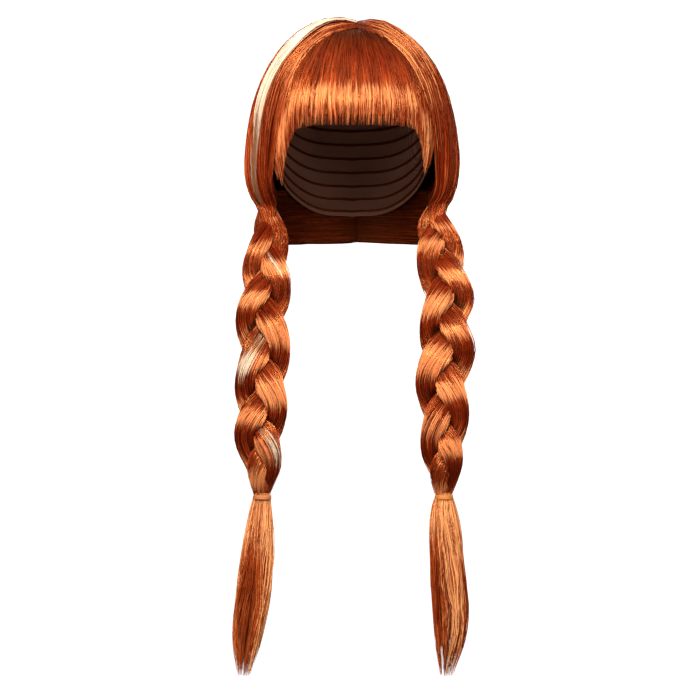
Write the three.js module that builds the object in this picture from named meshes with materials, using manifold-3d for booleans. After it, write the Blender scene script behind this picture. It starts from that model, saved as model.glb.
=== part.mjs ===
// A pigtail wig: a stretch cap, swept side and nape hair, a fringe, a pale streak,
// and two three-strand braids, each closed by an elastic tie above a loose tail.
// Millimetres, +Z up. The origin is the top of the head inside the cap, the face looks along -Y,
// and right and left are the wearer's own: the right braid hangs at -X and the left one at +X.

import * as THREE from 'three';
import { mergeVertices } from 'three/addons/utils/BufferGeometryUtils.js';
import Module from 'manifold-3d';

const wasm = await Module();
wasm.setup();

// The head that the wig is worn on, from its widest level
const headHalfWidth = 75;
const headFront = 94;
const headBack = 94;
const headCrownRise = 100;
const headRoundness = 2.2;

// The cap and what is laid on it
const capWall = 2;
const seatGap = 0.35;
const layerGap = 0.9;
const rootGap = 1.25;
const fringeRootDepth = 2;
const fringeTipDepth = 7;
const fringeLift = 5;
const sideDepth = 6;
const sideLooseness = 8;
const backLooseness = 3;
const partingGap = 0.8;
const partingDepth = 3;
const partingShift = 4;

// The fringe: how far it hangs from the crown, and where its roots start
const fringeDrop = 88;
const fringeRootAngle = 20;
const fringeSpreadAngle = 66;

// Where the hair is gathered into each braid
const gatherDrop = 158;
const gatherOut = 77;
const gatherBack = 6;
const gatherRadius = 11;
const gatherDepth = 12;

// The nape hair, from the back of the head to behind the gather
const napeDepth = 6;
const napeHang = 0.6;
const napeTopDrop = 142;
const napeBottomDrop = 192;
const napeEndTopDrop = 154;
const napeEndBottomDrop = 202;
const napeEndOut = 64;
const napeEndBack = 17;
const napeEndForward = 16;
const napeBend = 68;

// The pale streak laid on the right side hair
const streakDepth = 1.6;
const streakProud = 0.8;
const streakFromShare = 0.12;
const streakToShare = 0.19;
const streakStartShare = 0.015;
const streakEndShare = 0.92;

// The braids, their ties and their tails
const braidLength = 269;
const braidHalfWidth = 24;
const braidFlatness = 0.6;
const braidLean = 68;
const strandGap = 0.5;
const strandSwing = 0.4;
const neckRadius = 6.4;
const tieThickness = 2;
const tieHeight = 4.5;
const tailLength = 163;
const tailHalfWidth = 15;
const tailFlatness = 0.75;

const sides = { right: -1, left: 1 };
const strandsPerBraid = 3;

// Edge of the cap by azimuth from the brow (0) to the nape (180), as an angle down from the crown
const capEdge = [
  { azimuth: 0, angle: 60 },
  { azimuth: 40, angle: 72 },
  { azimuth: 65, angle: 101 },
  { azimuth: 85, angle: 92 },
  { azimuth: 105, angle: 97 },
  { azimuth: 125, angle: 116 },
  { azimuth: 150, angle: 128 },
  { azimuth: 180, angle: 131 },
];

// Lower edge of the fringe from its right end to its left one: length as a share of fringeDrop
const fringeEdge = [
  { across: -1, length: 1.36 },
  { across: -0.87, length: 1.56 },
  { across: -0.76, length: 1.42 },
  { across: -0.64, length: 1.16 },
  { across: -0.52, length: 1.03 },
  { across: 0, length: 1 },
  { across: 0.58, length: 1.02 },
  { across: 0.69, length: 1.08 },
  { across: 0.78, length: 1.27 },
  { across: 0.87, length: 1.46 },
  { across: 1, length: 1.34 },
];

// Paths of the side hair, from the fringe (share 0) to the nape (share 1). Each starts at an angle
// along the parting and is drawn out by two pulls, which are shares of the head's half sizes.
const sidePaths = {
  right: [
    { share: 0, rootAngle: -20,
      overOut: 1, overBack: -0.8, overUp: 1.1, downOut: 0.8, downBack: -0.85, downUp: -0.4 },
    { share: 0.25, rootAngle: 14,
      overOut: 1.1, overBack: 0.09, overUp: 1.05, downOut: 1.5, downBack: -0.2, downUp: -0.33 },
    { share: 0.5, rootAngle: 50,
      overOut: 1.08, overBack: 0.8, overUp: 0.55, downOut: 1.48, downBack: 0.16, downUp: -0.37 },
    { share: 0.75, rootAngle: 90,
      overOut: 0.96, overBack: 1.06, overUp: 0, downOut: 1.36, downBack: 0.56, downUp: -0.4 },
    { share: 1, rootAngle: 118,
      overOut: 0.6, overBack: 1, overUp: -0.45, downOut: 1, downBack: 0.58, downUp: -0.5 },
  ],
  left: [
    { share: 0, rootAngle: -20,
      overOut: 1.04, overBack: -0.74, overUp: 1.1, downOut: 1.08, downBack: -0.62, downUp: -0.4 },
    { share: 0.25, rootAngle: 14,
      overOut: 1.1, overBack: 0.09, overUp: 1.05, downOut: 1.5, downBack: -0.12, downUp: -0.33 },
    { share: 0.5, rootAngle: 50,
      overOut: 1.08, overBack: 0.8, overUp: 0.55, downOut: 1.48, downBack: 0.16, downUp: -0.37 },
    { share: 0.75, rootAngle: 90,
      overOut: 0.96, overBack: 1.06, overUp: 0, downOut: 1.36, downBack: 0.56, downUp: -0.4 },
    { share: 1, rootAngle: 118,
      overOut: 0.6, overBack: 1, overUp: -0.45, downOut: 1, downBack: 0.58, downUp: -0.5 },
  ],
};

// Each braid from the gather (share 0) to the tie (share 1): sideways sway and half width as
// shares of braidHalfWidth, forward lean as a share of braidLean, and crossings in thirds of a
// strand's round.
const braidRows = {
  right: [
    { share: 0, sway: 0, halfWidth: 0.56, lean: 0, thirds: -1.05 },
    { share: 0.09, sway: -0.02, halfWidth: 0.7, lean: 0.2, thirds: -0.58 },
    { share: 0.206, sway: 0.03, halfWidth: 0.87, lean: 0.44, thirds: 0 },
    { share: 0.39, sway: 0.18, halfWidth: 1, lean: 0.74, thirds: 1 },
    { share: 0.54, sway: 0.17, halfWidth: 0.98, lean: 0.88, thirds: 1.68 },
    { share: 0.66, sway: 0.23, halfWidth: 1.01, lean: 0.95, thirds: 2.24 },
    { share: 0.81, sway: 0.28, halfWidth: 0.9, lean: 1, thirds: 3.03 },
    { share: 0.9, sway: 0.23, halfWidth: 0.71, lean: 1, thirds: 3.46 },
    { share: 0.955, sway: 0.2, halfWidth: 0.47, lean: 1, thirds: 3.72 },
    { share: 1, sway: 0.2, halfWidth: 0.29, lean: 1, thirds: 3.9 },
  ],
  left: [
    { share: 0, sway: 0, halfWidth: 0.55, lean: 0, thirds: -0.8 },
    { share: 0.06, sway: 0, halfWidth: 0.74, lean: 0.13, thirds: -0.4 },
    { share: 0.14, sway: 0.1, halfWidth: 0.87, lean: 0.31, thirds: 0.06 },
    { share: 0.32, sway: 0.42, halfWidth: 0.97, lean: 0.65, thirds: 1.03 },
    { share: 0.42, sway: 0.36, halfWidth: 0.96, lean: 0.78, thirds: 1.56 },
    { share: 0.505, sway: 0.34, halfWidth: 1.08, lean: 0.86, thirds: 2 },
    { share: 0.63, sway: 0.23, halfWidth: 1, lean: 0.94, thirds: 2.56 },
    { share: 0.765, sway: 0.29, halfWidth: 0.89, lean: 0.99, thirds: 3.2 },
    { share: 0.868, sway: 0.25, halfWidth: 0.78, lean: 1, thirds: 3.75 },
    { share: 0.937, sway: 0.26, halfWidth: 0.56, lean: 1, thirds: 4.1 },
    { share: 1, sway: 0.28, halfWidth: 0.29, lean: 1, thirds: 4.35 },
  ],
};

// Each tail from the tie (share 0) to its tip (share 1), as shares of tailHalfWidth
const tailRows = {
  right: [
    { share: 0, sway: 0, halfWidth: 0.42 },
    { share: 0.08, sway: 0.08, halfWidth: 0.58 },
    { share: 0.2, sway: 0.16, halfWidth: 0.78 },
    { share: 0.36, sway: 0.3, halfWidth: 0.97 },
    { share: 0.5, sway: 0.44, halfWidth: 1.03 },
    { share: 0.65, sway: 0.66, halfWidth: 1.02 },
    { share: 0.8, sway: 0.9, halfWidth: 1.02 },
    { share: 1, sway: 1.15, halfWidth: 0.9 },
  ],
  left: [
    { share: 0, sway: 0, halfWidth: 0.42 },
    { share: 0.08, sway: 0, halfWidth: 0.72 },
    { share: 0.2, sway: 0.08, halfWidth: 0.94 },
    { share: 0.36, sway: 0.18, halfWidth: 1 },
    { share: 0.5, sway: 0.3, halfWidth: 1.06 },
    { share: 0.65, sway: 0.42, halfWidth: 1.08 },
    { share: 0.8, sway: 0.38, halfWidth: 1.1 },
    { share: 1, sway: 0.14, halfWidth: 0.9 },
  ],
};

// Locks of a tail: where each lies in the bundle, and how far down it reaches
const tailLocks = [
  { across: 0, deep: 0, reach: 1 },
  { across: -0.5, deep: -0.1, reach: 0.94 },
  { across: 0.5, deep: 0.1, reach: 0.9 },
  { across: -0.22, deep: 0.5, reach: 0.98 },
  { across: 0.26, deep: -0.5, reach: 0.95 },
  { across: 0.36, deep: 0.46, reach: 0.87 },
  { across: -0.34, deep: -0.5, reach: 0.97 },
];

// How finely each piece is faceted
const capSegments = 30;
const capRings = 10;
const fringeSections = 22;
const fringeSteps = 8;
const sideSections = 12;
const sideSteps = 12;
const napeSections = 8;
const napeSteps = 5;
const strandLevels = 40;
const strandSides = 10;
const lockLevels = 9;
const lockSides = 6;
const tieSegments = 20;

const headCentre = new THREE.Vector3(0, 0, -headCrownRise);
const deg = THREE.MathUtils.degToRad;

// A smooth reading of one column of a table, whose rows are ordered by key
function read(rows, key, column, at) {
  const last = rows.length - 1;
  const x = THREE.MathUtils.clamp(at, rows[0][key], rows[last][key]);
  let i = 0;
  while (i < last - 1 && x > rows[i + 1][key]) i += 1;
  const slope = (a, b) => (rows[b][column] - rows[a][column]) / (rows[b][key] - rows[a][key]);
  const start = i > 0 ? slope(i - 1, i + 1) : slope(i, i + 1);
  const end = i + 2 <= last ? slope(i, i + 2) : slope(i, i + 1);
  const width = rows[i + 1][key] - rows[i][key];
  const t = (x - rows[i][key]) / width;
  return rows[i][column] * (1 + 2 * t) * (1 - t) ** 2 + rows[i + 1][column] * t * t * (3 - 2 * t)
    + width * (start * t * (1 - t) ** 2 + end * t * t * (t - 1));
}

// The head's half sizes grown by a distance on each side
function grownHead(out, side = 0, back = 0) {
  return {
    x: headHalfWidth + out + side,
    front: headFront + out,
    back: headBack + out + back,
    z: headCrownRise + out,
  };
}

// How large the grown head has to be, as a share, for its surface to pass through a point
function shareOf(shell, p) {
  const depth = p.y < 0 ? shell.front : shell.back;
  return (Math.abs(p.x / shell.x) ** headRoundness + Math.abs(p.y / depth) ** headRoundness
    + Math.abs(p.z / shell.z) ** headRoundness) ** (1 / headRoundness);
}

// The point of a grown head in a direction: azimuth from the face, angle down from the crown
function onHead(shell, azimuth, angle) {
  const p = new THREE.Vector3(
    Math.sin(azimuth) * Math.sin(angle) * shell.x,
    -Math.cos(azimuth) * Math.sin(angle) * shell.front,
    Math.cos(angle) * shell.z,
  );
  return p.divideScalar(shareOf(shell, p)).add(headCentre);
}

// A point moved outwards until it clears the grown head, with a soft bend where it leaves it
function pushedOut(shell, p) {
  const softness = 36;
  const offset = p.clone().sub(headCentre);
  const outward = 1 / shareOf(shell, offset);
  return offset.multiplyScalar((1 + outward ** softness) ** (1 / softness)).add(headCentre);
}

// Joins a wall's outer and inner edge lines into one closed section
function wallSection(outer, inner) {
  return [...outer, ...inner.slice().reverse()];
}

// A closed body skinned over sections of equal point counts, with both ends stitched across
function loft(sections) {
  const count = sections[0].length;
  const faces = [];
  for (let row = 0; row + 1 < sections.length; row += 1) {
    for (let i = 0; i < count; i += 1) {
      const next = (i + 1) % count;
      const a = row * count + i;
      const b = row * count + next;
      faces.push(a, b, a + count, b, b + count, a + count);
    }
  }
  const last = (sections.length - 1) * count;
  for (let i = 0; i < count - 1 - i; i += 1) {
    const far = count - 1 - i;
    if (far - i > 1) {
      faces.push(i, far, i + 1);
      faces.push(last + i, last + i + 1, last + far);
    }
    if (far - i > 2) {
      faces.push(i + 1, far, far - 1);
      faces.push(last + i + 1, last + far - 1, last + far);
    }
  }
  const geometry = new THREE.BufferGeometry().setFromPoints(sections.flat());
  geometry.setIndex(faces);
  const made = solidOf(geometry);
  return made.volume() > 0 ? made : solidOf(geometry.setIndex(faces.reverse()));
}

// A three.js geometry as a solid that can be joined and cut
function solidOf(geometry) {
  const bare = new THREE.BufferGeometry();
  bare.setAttribute('position', geometry.attributes.position);
  bare.setIndex(geometry.index);
  const merged = mergeVertices(bare, 1e-4);
  return new wasm.Manifold(new wasm.Mesh({
    numProp: 3,
    vertProperties: new Float32Array(merged.attributes.position.array),
    triVerts: new Uint32Array(merged.index.array),
  }));
}

// A solid as a three.js geometry
function geometryOf(solid) {
  const mesh = solid.getMesh();
  const geometry = new THREE.BufferGeometry();
  geometry.setAttribute('position', new THREE.BufferAttribute(mesh.vertProperties, 3));
  geometry.setIndex(new THREE.BufferAttribute(mesh.triVerts, 1));
  geometry.computeVertexNormals();
  return geometry;
}

// Stretch cap: a thin dome, open below, with its edge cut over the face and round the ears
function makeCap() {
  const ring = (shell, share) => Array.from({ length: capSegments }, (_, i) => {
    const azimuth = (360 * i) / capSegments;
    const edge = read(capEdge, 'azimuth', 'angle', azimuth > 180 ? 360 - azimuth : azimuth);
    return onHead(shell, deg(azimuth), deg(edge * share));
  });
  const shares = Array.from({ length: capRings }, (_, i) => (i + 0.3) / (capRings - 0.7));
  const outer = shares.map((share) => ring(grownHead(capWall), share));
  const inner = shares.map((share) => ring(grownHead(0), share)).reverse();
  return loft([...outer, ...inner]);
}

// A point of the fringe: across from -1 to 1, down from root to tip, outer or inner face
function fringePoint(across, down, outer) {
  const body = down * (1 - across ** 2) ** 2;
  const rest = capWall + layerGap + fringeLift * body;
  const depth = THREE.MathUtils.lerp(fringeRootDepth, fringeTipDepth, body) * (down < 1 ? 1 : 0.4);
  const shell = grownHead(rest + (outer ? depth : 0));
  const length = fringeDrop * read(fringeEdge, 'across', 'length', across);
  const tipAngle = Math.acos((headCrownRise + capWall - length) / shell.z);
  const angle = THREE.MathUtils.lerp(deg(fringeRootAngle), tipAngle, down);
  return onHead(shell, deg(across * fringeSpreadAngle), angle);
}

// Fringe: a sheet of hair that falls from the crown to the brow, longer at the temples
function makeFringe() {
  const steps = Array.from({ length: fringeSteps + 1 }, (_, i) => i / fringeSteps);
  const sections = Array.from({ length: fringeSections + 1 }, (_, i) => {
    const across = -1 + (2 * i) / fringeSections;
    return wallSection(
      steps.map((down) => fringePoint(across, down, true)),
      steps.map((down) => fringePoint(across, down, false)),
    );
  });
  return loft(sections);
}

// The half sizes of the side hair's middle layer, close at the face and looser over the ear
function sideShell(share) {
  const out = capWall + layerGap + fringeRootDepth + layerGap + sideDepth / 2;
  const loose = THREE.MathUtils.smoothstep(share, 0, 0.4);
  return grownHead(out, sideLooseness * loose, backLooseness * loose);
}

// Middle of the side hair: share from the fringe to the nape, reach from the parting to the gather
function sideMiddle(side, share, reach) {
  const at = (column) => read(sidePaths[side], 'share', column, share);
  const pull = (out, back, up) => new THREE.Vector3(
    sides[side] * out * headHalfWidth,
    back * (back < 0 ? headFront : headBack),
    up * headCrownRise,
  ).add(headCentre);
  const shell = sideShell(share);
  const root = onHead(shell, at('rootAngle') < 0 ? 0 : Math.PI, Math.abs(deg(at('rootAngle'))));
  root.x = partingEdge(side);
  const turn = Math.PI * share;
  const end = new THREE.Vector3(
    sides[side] * (gatherOut + gatherRadius * (Math.sin(turn) - 0.5)),
    gatherBack - gatherRadius * Math.cos(turn),
    -gatherDrop,
  );
  const curve = new THREE.CubicBezierCurve3(
    root,
    pull(at('overOut'), at('overBack'), at('overUp')),
    pull(at('downOut'), at('downBack'), at('downUp')),
    end,
  );
  const held = pushedOut(shell, curve.getPoint(reach));
  const freed = rootShare(reach) + THREE.MathUtils.smoothstep(reach, 0.75, 1);
  return held.lerp(curve.getPoint(reach), freed);
}

// How much of the parting's root a place has: 1 at the parting and 0 past the roots
function rootShare(reach) {
  return 1 - THREE.MathUtils.smoothstep(reach, 0, 0.12);
}

// Where a side's hair starts beside the parting line
function partingEdge(side) {
  return partingShift + (sides[side] * partingGap) / 2;
}

// The direction out of a surface that is given as a function of two shares
function normalOf(surface, a, b) {
  const step = 0.01;
  const low = (t) => Math.max(0, t - step);
  const high = (t) => Math.min(1, t + step);
  const first = surface(high(a), b).sub(surface(low(a), b));
  const second = surface(a, high(b)).sub(surface(a, low(b)));
  return first.cross(second).normalize();
}

// A point of the side hair's outer or inner face, some distance from its middle
function sidePoint(side, share, reach, away) {
  const surface = (s, r) => sideMiddle(side, s, r);
  const out = normalOf(surface, share, reach).multiplyScalar(-sides[side]);
  const p = sideMiddle(side, share, reach).addScaledVector(out, away);
  if (reach === 0 || (p.x - partingEdge(side)) * sides[side] < 0) p.x = partingEdge(side);
  p.z = reach === 1 ? -gatherDrop : Math.max(p.z, -gatherDrop * (1 - 0.02 * (1 - reach)));
  return p;
}

// Half the side hair's depth: thin at the parting, rounded at both edges, full at the gather
function sideHalfDepth(share, reach) {
  const swell = THREE.MathUtils.lerp(sideDepth, partingDepth, rootShare(reach));
  const full = THREE.MathUtils.lerp(swell, gatherDepth, THREE.MathUtils.smoothstep(reach, 0.7, 1));
  const edge = 0.35 + 0.65 * Math.sqrt(1 - (2 * share - 1) ** 8);
  return (full * edge) / 2;
}

// How deep the side hair's inner face lies: behind the fringe its roots go down to the cap
function sideInnerDepth(side, share, reach) {
  const slope = Math.abs(Math.sin(deg(read(sidePaths[side], 'share', 'rootAngle', share))));
  const toCap = 2 * layerGap + fringeRootDepth + sideDepth / 2 + backLooseness * slope - rootGap;
  const seated = THREE.MathUtils.smoothstep(share, 0.1, 0.2) - THREE.MathUtils.smoothstep(share, 0.6, 0.8);
  return THREE.MathUtils.lerp(sideHalfDepth(share, reach), toCap, rootShare(reach) * seated);
}

// Side hair: swept from the centre parting over the ear into the braid
function makeSideHair(side) {
  const shares = Array.from({ length: sideSections + 1 }, (_, i) => i / sideSections);
  const sections = Array.from({ length: sideSteps + 1 }, (_, i) => {
    const reach = i / sideSteps;
    return wallSection(
      shares.map((share) => sidePoint(side, share, reach, sideHalfDepth(share, reach))),
      shares.map((share) => sidePoint(side, share, reach, -sideInnerDepth(side, share, reach))),
    );
  });
  return loft(sections);
}

// Pale streak: a flat lock let into the right side hair from the parting to the gather
function makeStreak(clear = 0) {
  const clearShare = clear / (gatherDrop + headHalfWidth);
  const start = streakStartShare - clearShare;
  const end = streakEndShare + clearShare;
  const sections = Array.from({ length: sideSteps }, (_, i) => {
    const reach = THREE.MathUtils.lerp(start, end, i / (sideSteps - 1));
    const from = sideMiddle('right', streakFromShare, reach);
    const width = from.distanceTo(sideMiddle('right', streakToShare, reach));
    const slack = (clear * (streakToShare - streakFromShare)) / width;
    const shares = [streakFromShare - slack, (streakFromShare + streakToShare) / 2, streakToShare + slack];
    const line = (proud) => shares.map((share, k) => {
      const round = k === 1 ? 1 : 0.3;
      return sidePoint('right', share, reach, sideHalfDepth(share, reach) + proud * round);
    });
    return wallSection(line(streakProud + clear), shares.map((share) => (
      sidePoint('right', share, reach, sideHalfDepth(share, reach) - streakDepth - clear)
    )));
  });
  return loft(sections);
}

// Middle of the nape hair: down from its top row to its lowest, reach from the midline to the braid
function napeMiddle(side, down, reach) {
  const lerp = THREE.MathUtils.lerp;
  const shell = grownHead(capWall + seatGap + napeHalfDepth(down));
  const startDrop = lerp(napeTopDrop, napeBottomDrop, down);
  const below = Math.min((startDrop - headCrownRise) / shell.z, napeHang);
  const startBack = shell.back * (1 - below ** headRoundness) ** (1 / headRoundness);
  const start = new THREE.Vector3(partingEdge(side), startBack, -startDrop);
  const endDrop = lerp(napeEndTopDrop, napeEndBottomDrop, down);
  const endBack = napeEndBack - napeEndForward * down;
  const end = new THREE.Vector3(sides[side] * napeEndOut, endBack, -endDrop);
  const bend = new THREE.Vector3(sides[side] * napeBend, startBack, -lerp(startDrop, endDrop, 0.5));
  return new THREE.QuadraticBezierCurve3(start, bend, end).getPoint(reach);
}

// Half the nape hair's depth, rounded at its top and lower edges
function napeHalfDepth(down) {
  return (napeDepth * (0.35 + 0.65 * Math.sqrt(1 - (2 * down - 1) ** 6))) / 2;
}

// Nape hair: the lowest rows, swept forward under the side hair to the back of the braid
function makeNapeHair(side) {
  const rows = Array.from({ length: napeSections + 1 }, (_, i) => i / napeSections);
  const sections = Array.from({ length: napeSteps + 1 }, (_, i) => {
    const reach = i / napeSteps;
    const line = (sign) => rows.map((down) => {
      const surface = (d, r) => napeMiddle(side, d, r);
      const out = normalOf(surface, down, reach).multiplyScalar(-sides[side]);
      const p = napeMiddle(side, down, reach).addScaledVector(out, sign * napeHalfDepth(down));
      if (reach === 0) p.x = partingEdge(side);
      return p;
    });
    return wallSection(line(1), line(-1));
  });
  return loft(sections);
}

// The middle, half width and crossing of a braid at a share of its length
function braidAt(side, share) {
  const at = (column) => read(braidRows[side], 'share', column, share);
  return {
    x: sides[side] * (gatherOut + at('sway') * braidHalfWidth),
    y: gatherBack - at('lean') * braidLean,
    z: -gatherDrop - seatGap - share * strandLength(),
    halfWidth: at('halfWidth') * braidHalfWidth,
    thirds: at('thirds'),
  };
}

// The strands end just above the tail's neck, inside the top of the tie
function strandLength() {
  return braidLength - tieHeight / 2 - 2 * seatGap;
}

// Where a strand's middle lies in the braid, before the braid is flattened
function strandMiddle(side, strand, share) {
  const here = braidAt(side, share);
  const reach = strandSwing * here.halfWidth;
  const round = (2 * Math.PI * (here.thirds - strand)) / strandsPerBraid;
  return new THREE.Vector2(sides[side] * reach * Math.cos(round), reach * Math.sin(2 * round));
}

// The planes that part a strand from the other two, half a level above and below a level
function partingPlanes(side, strand, share) {
  const planes = [];
  for (const step of [-0.5, 0.5]) {
    const at = THREE.MathUtils.clamp(share + step / strandLevels, 0, 1);
    const own = strandMiddle(side, strand, at);
    for (let other = 0; other < strandsPerBraid; other += 1) {
      if (other === strand) continue;
      const neighbour = strandMiddle(side, other, at);
      const normal = neighbour.clone().sub(own).normalize();
      const halfway = own.clone().add(neighbour).multiplyScalar(0.5).dot(normal);
      planes.push({ normal, limit: halfway - strandGap / 2 / braidFlatness });
    }
  }
  return planes;
}

// One level of a strand: a round bundle, pressed flat where it meets the other two
function strandSection(side, strand, share) {
  const here = braidAt(side, share);
  const own = strandMiddle(side, strand, share);
  const planes = partingPlanes(side, strand, share);
  return Array.from({ length: strandSides }, (_, i) => {
    const angle = (2 * Math.PI * i) / strandSides;
    const direction = new THREE.Vector2(Math.cos(angle), Math.sin(angle));
    let radius = (1 - strandSwing) * here.halfWidth;
    for (const { normal, limit } of planes) {
      const toward = direction.dot(normal);
      if (toward > 0) radius = Math.min(radius, (limit - own.dot(normal)) / toward);
    }
    const p = own.clone().addScaledVector(direction, radius);
    return new THREE.Vector3(here.x + p.x, here.y + p.y * braidFlatness, here.z);
  });
}

// One of the three strands of a braid
function makeStrand(side, strand) {
  const levels = Array.from({ length: strandLevels + 1 }, (_, i) => i / strandLevels);
  return loft(levels.map((share) => strandSection(side, strand, share)));
}

// The middle of a braid's lower end, where its tie sits
function tiePlace(side) {
  const end = braidAt(side, 1);
  return new THREE.Vector3(end.x, end.y, -gatherDrop - braidLength);
}

// Elastic tie: a flat ring wound round the neck of the tail
function makeTie() {
  const inside = neckRadius + seatGap;
  const profile = [
    new THREE.Vector2(inside, -tieHeight / 2),
    new THREE.Vector2(inside + tieThickness * 0.7, -tieHeight / 2),
    new THREE.Vector2(inside + tieThickness, -tieHeight / 4),
    new THREE.Vector2(inside + tieThickness, tieHeight / 4),
    new THREE.Vector2(inside + tieThickness * 0.7, tieHeight / 2),
    new THREE.Vector2(inside, tieHeight / 2),
    new THREE.Vector2(inside, -tieHeight / 2),
  ];
  return new THREE.LatheGeometry(profile, tieSegments).rotateX(Math.PI / 2);
}

// One lock of a tail, from inside the neck to its own tip
function tailLock(side, lock) {
  const levels = Array.from({ length: lockLevels + 1 }, (_, i) => i / lockLevels);
  return loft(levels.map((level) => {
    const share = level * lock.reach;
    const at = (column) => read(tailRows[side], 'share', column, share) * tailHalfWidth;
    const taper = 1 - THREE.MathUtils.smoothstep(level, 0.6, 1) * 0.93;
    const radius = 0.5 * at('halfWidth') * taper;
    const draw = 1 - 0.3 * THREE.MathUtils.smoothstep(level, 0.6, 1);
    const x = sides[side] * at('sway') + lock.across * at('halfWidth') * draw;
    const y = lock.deep * at('halfWidth') * tailFlatness * draw;
    return Array.from({ length: lockSides }, (_, i) => {
      const angle = (2 * Math.PI * i) / lockSides;
      return new THREE.Vector3(
        x + radius * Math.cos(angle),
        y + radius * tailFlatness * Math.sin(angle),
        tieHeight / 2 - share * (tailLength + tieHeight / 2),
      );
    });
  }));
}

// Tail: locks that flare from a round neck, all joined to it
function makeTail(side) {
  const neck = new THREE.CylinderGeometry(neckRadius, neckRadius, tieHeight, 2 * lockSides);
  const joined = tailLocks.reduce(
    (all, lock) => all.add(tailLock(side, lock)),
    solidOf(neck.rotateX(Math.PI / 2)),
  );
  const cleared = tieHeight + 2 * seatGap;
  const collar = new THREE.CylinderGeometry(neckRadius, neckRadius, cleared, 2 * lockSides);
  const around = solidOf(new THREE.BoxGeometry(8 * neckRadius, 8 * neckRadius, cleared));
  return joined.subtract(around.subtract(solidOf(collar.rotateX(Math.PI / 2))));
}

const hairFinish = new THREE.MeshStandardMaterial({ color: 0xc4601f, roughness: 0.42, metalness: 0 });
const deepHairFinish = new THREE.MeshStandardMaterial({ color: 0x8a3510, roughness: 0.5, metalness: 0 });
const paleFinish = new THREE.MeshStandardMaterial({ color: 0xf3e3c3, roughness: 0.4, metalness: 0 });
const capFinish = new THREE.MeshStandardMaterial({ color: 0x3a2015, roughness: 0.85, metalness: 0 });
const tieFinish = new THREE.MeshStandardMaterial({ color: 0xc98a2b, roughness: 0.55, metalness: 0 });

const wig = new THREE.Group();

function addPiece(name, geometry, finish, place = new THREE.Vector3()) {
  const mesh = new THREE.Mesh(geometry, finish);
  mesh.name = name;
  mesh.position.copy(place);
  wig.add(mesh);
}

addPiece('wig_cap', geometryOf(makeCap()), capFinish);
addPiece('fringe', geometryOf(makeFringe()), hairFinish);
addPiece('pale_streak', geometryOf(makeStreak()), paleFinish);

for (const side of Object.keys(sides)) {
  const swept = makeSideHair(side);
  const channelled = side === 'right' ? swept.subtract(makeStreak(seatGap)) : swept;
  addPiece(`side_hair_${side}`, geometryOf(channelled), hairFinish);
  addPiece(`nape_hair_${side}`, geometryOf(makeNapeHair(side)), deepHairFinish);
  for (let strand = 0; strand < strandsPerBraid; strand += 1) {
    addPiece(`braid_${side}_strand_${strand + 1}`, geometryOf(makeStrand(side, strand)), hairFinish);
  }
  addPiece(`tie_${side}`, makeTie(), tieFinish, tiePlace(side));
  addPiece(`tail_${side}`, geometryOf(makeTail(side)), hairFinish, tiePlace(side));
}

export default wig;
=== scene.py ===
"""A pigtail wig: copper hair swept from a centre parting into two plaited braids.

Metres, +Z up. The origin is the top of the hollow inside the cap, and the fringe lies towards -Y.
Right and left are as worn, so the right braid hangs at -X.
"""

import logging
import math
from collections.abc import Callable, Sequence
from dataclasses import dataclass, replace
from enum import Enum

import bpy
import bmesh
import numpy as np
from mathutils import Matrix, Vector


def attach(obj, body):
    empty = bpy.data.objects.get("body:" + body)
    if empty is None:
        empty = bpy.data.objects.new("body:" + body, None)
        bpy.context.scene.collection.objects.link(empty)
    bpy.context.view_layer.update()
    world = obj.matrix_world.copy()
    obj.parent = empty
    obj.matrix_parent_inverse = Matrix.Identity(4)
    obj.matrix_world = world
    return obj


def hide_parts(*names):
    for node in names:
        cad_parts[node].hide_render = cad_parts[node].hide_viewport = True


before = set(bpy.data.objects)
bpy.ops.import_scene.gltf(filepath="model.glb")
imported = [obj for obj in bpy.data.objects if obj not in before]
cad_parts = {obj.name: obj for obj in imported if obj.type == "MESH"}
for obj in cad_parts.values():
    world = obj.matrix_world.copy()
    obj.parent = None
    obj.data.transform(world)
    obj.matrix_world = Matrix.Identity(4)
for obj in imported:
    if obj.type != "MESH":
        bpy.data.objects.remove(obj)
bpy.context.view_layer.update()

BODY = "root"
LOG = logging.getLogger("wig")
Rows = Sequence[Sequence[float]]
Rgb = tuple[int, int, int]
Spot = tuple[float, float, float]
Array = np.ndarray


class Side(Enum):
    """Right or left as worn, as a sign along X."""

    RIGHT = -1
    LEFT = 1

    @property
    def label(self) -> str:
        """The side's name in lower case."""
        return self.name.lower()


# --------------------------------------------------------------------------- small sums


def read(rows: Rows, column: int, at: Array) -> Array:
    """Reads one column of a table smoothly by its first column.

    Args:
        rows: The table, ordered by its first column.
        column: The column to read.
        at: Where to read it.

    Returns:
        The column's value at each place.
    """
    table = np.asarray(rows, float)
    keys, values = table[:, 0], table[:, column]
    slopes = np.empty(len(keys))
    slopes[1:-1] = (values[2:] - values[:-2]) / (keys[2:] - keys[:-2])
    slopes[0] = (values[1] - values[0]) / (keys[1] - keys[0])
    slopes[-1] = (values[-1] - values[-2]) / (keys[-1] - keys[-2])
    x = np.clip(at, keys[0], keys[-1])
    i = np.clip(np.searchsorted(keys, x) - 1, 0, len(keys) - 2)
    width = keys[i + 1] - keys[i]
    t = (x - keys[i]) / width
    ends = values[i] * (1 + 2 * t) * (1 - t) ** 2 + values[i + 1] * t * t * (3 - 2 * t)
    return ends + width * (slopes[i] * t * (1 - t) ** 2 + slopes[i + 1] * t * t * (t - 1))


def ease(x: Array, low: float, high: float) -> Array:
    """A smooth step from 0 at low to 1 at high."""
    t = np.clip((np.asarray(x, float) - low) / (high - low), 0, 1)
    return t * t * (3 - 2 * t)


def mix(a: Array, b: Array, share: Array) -> Array:
    """The value a share of the way from a to b."""
    return a + (b - a) * share


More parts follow.
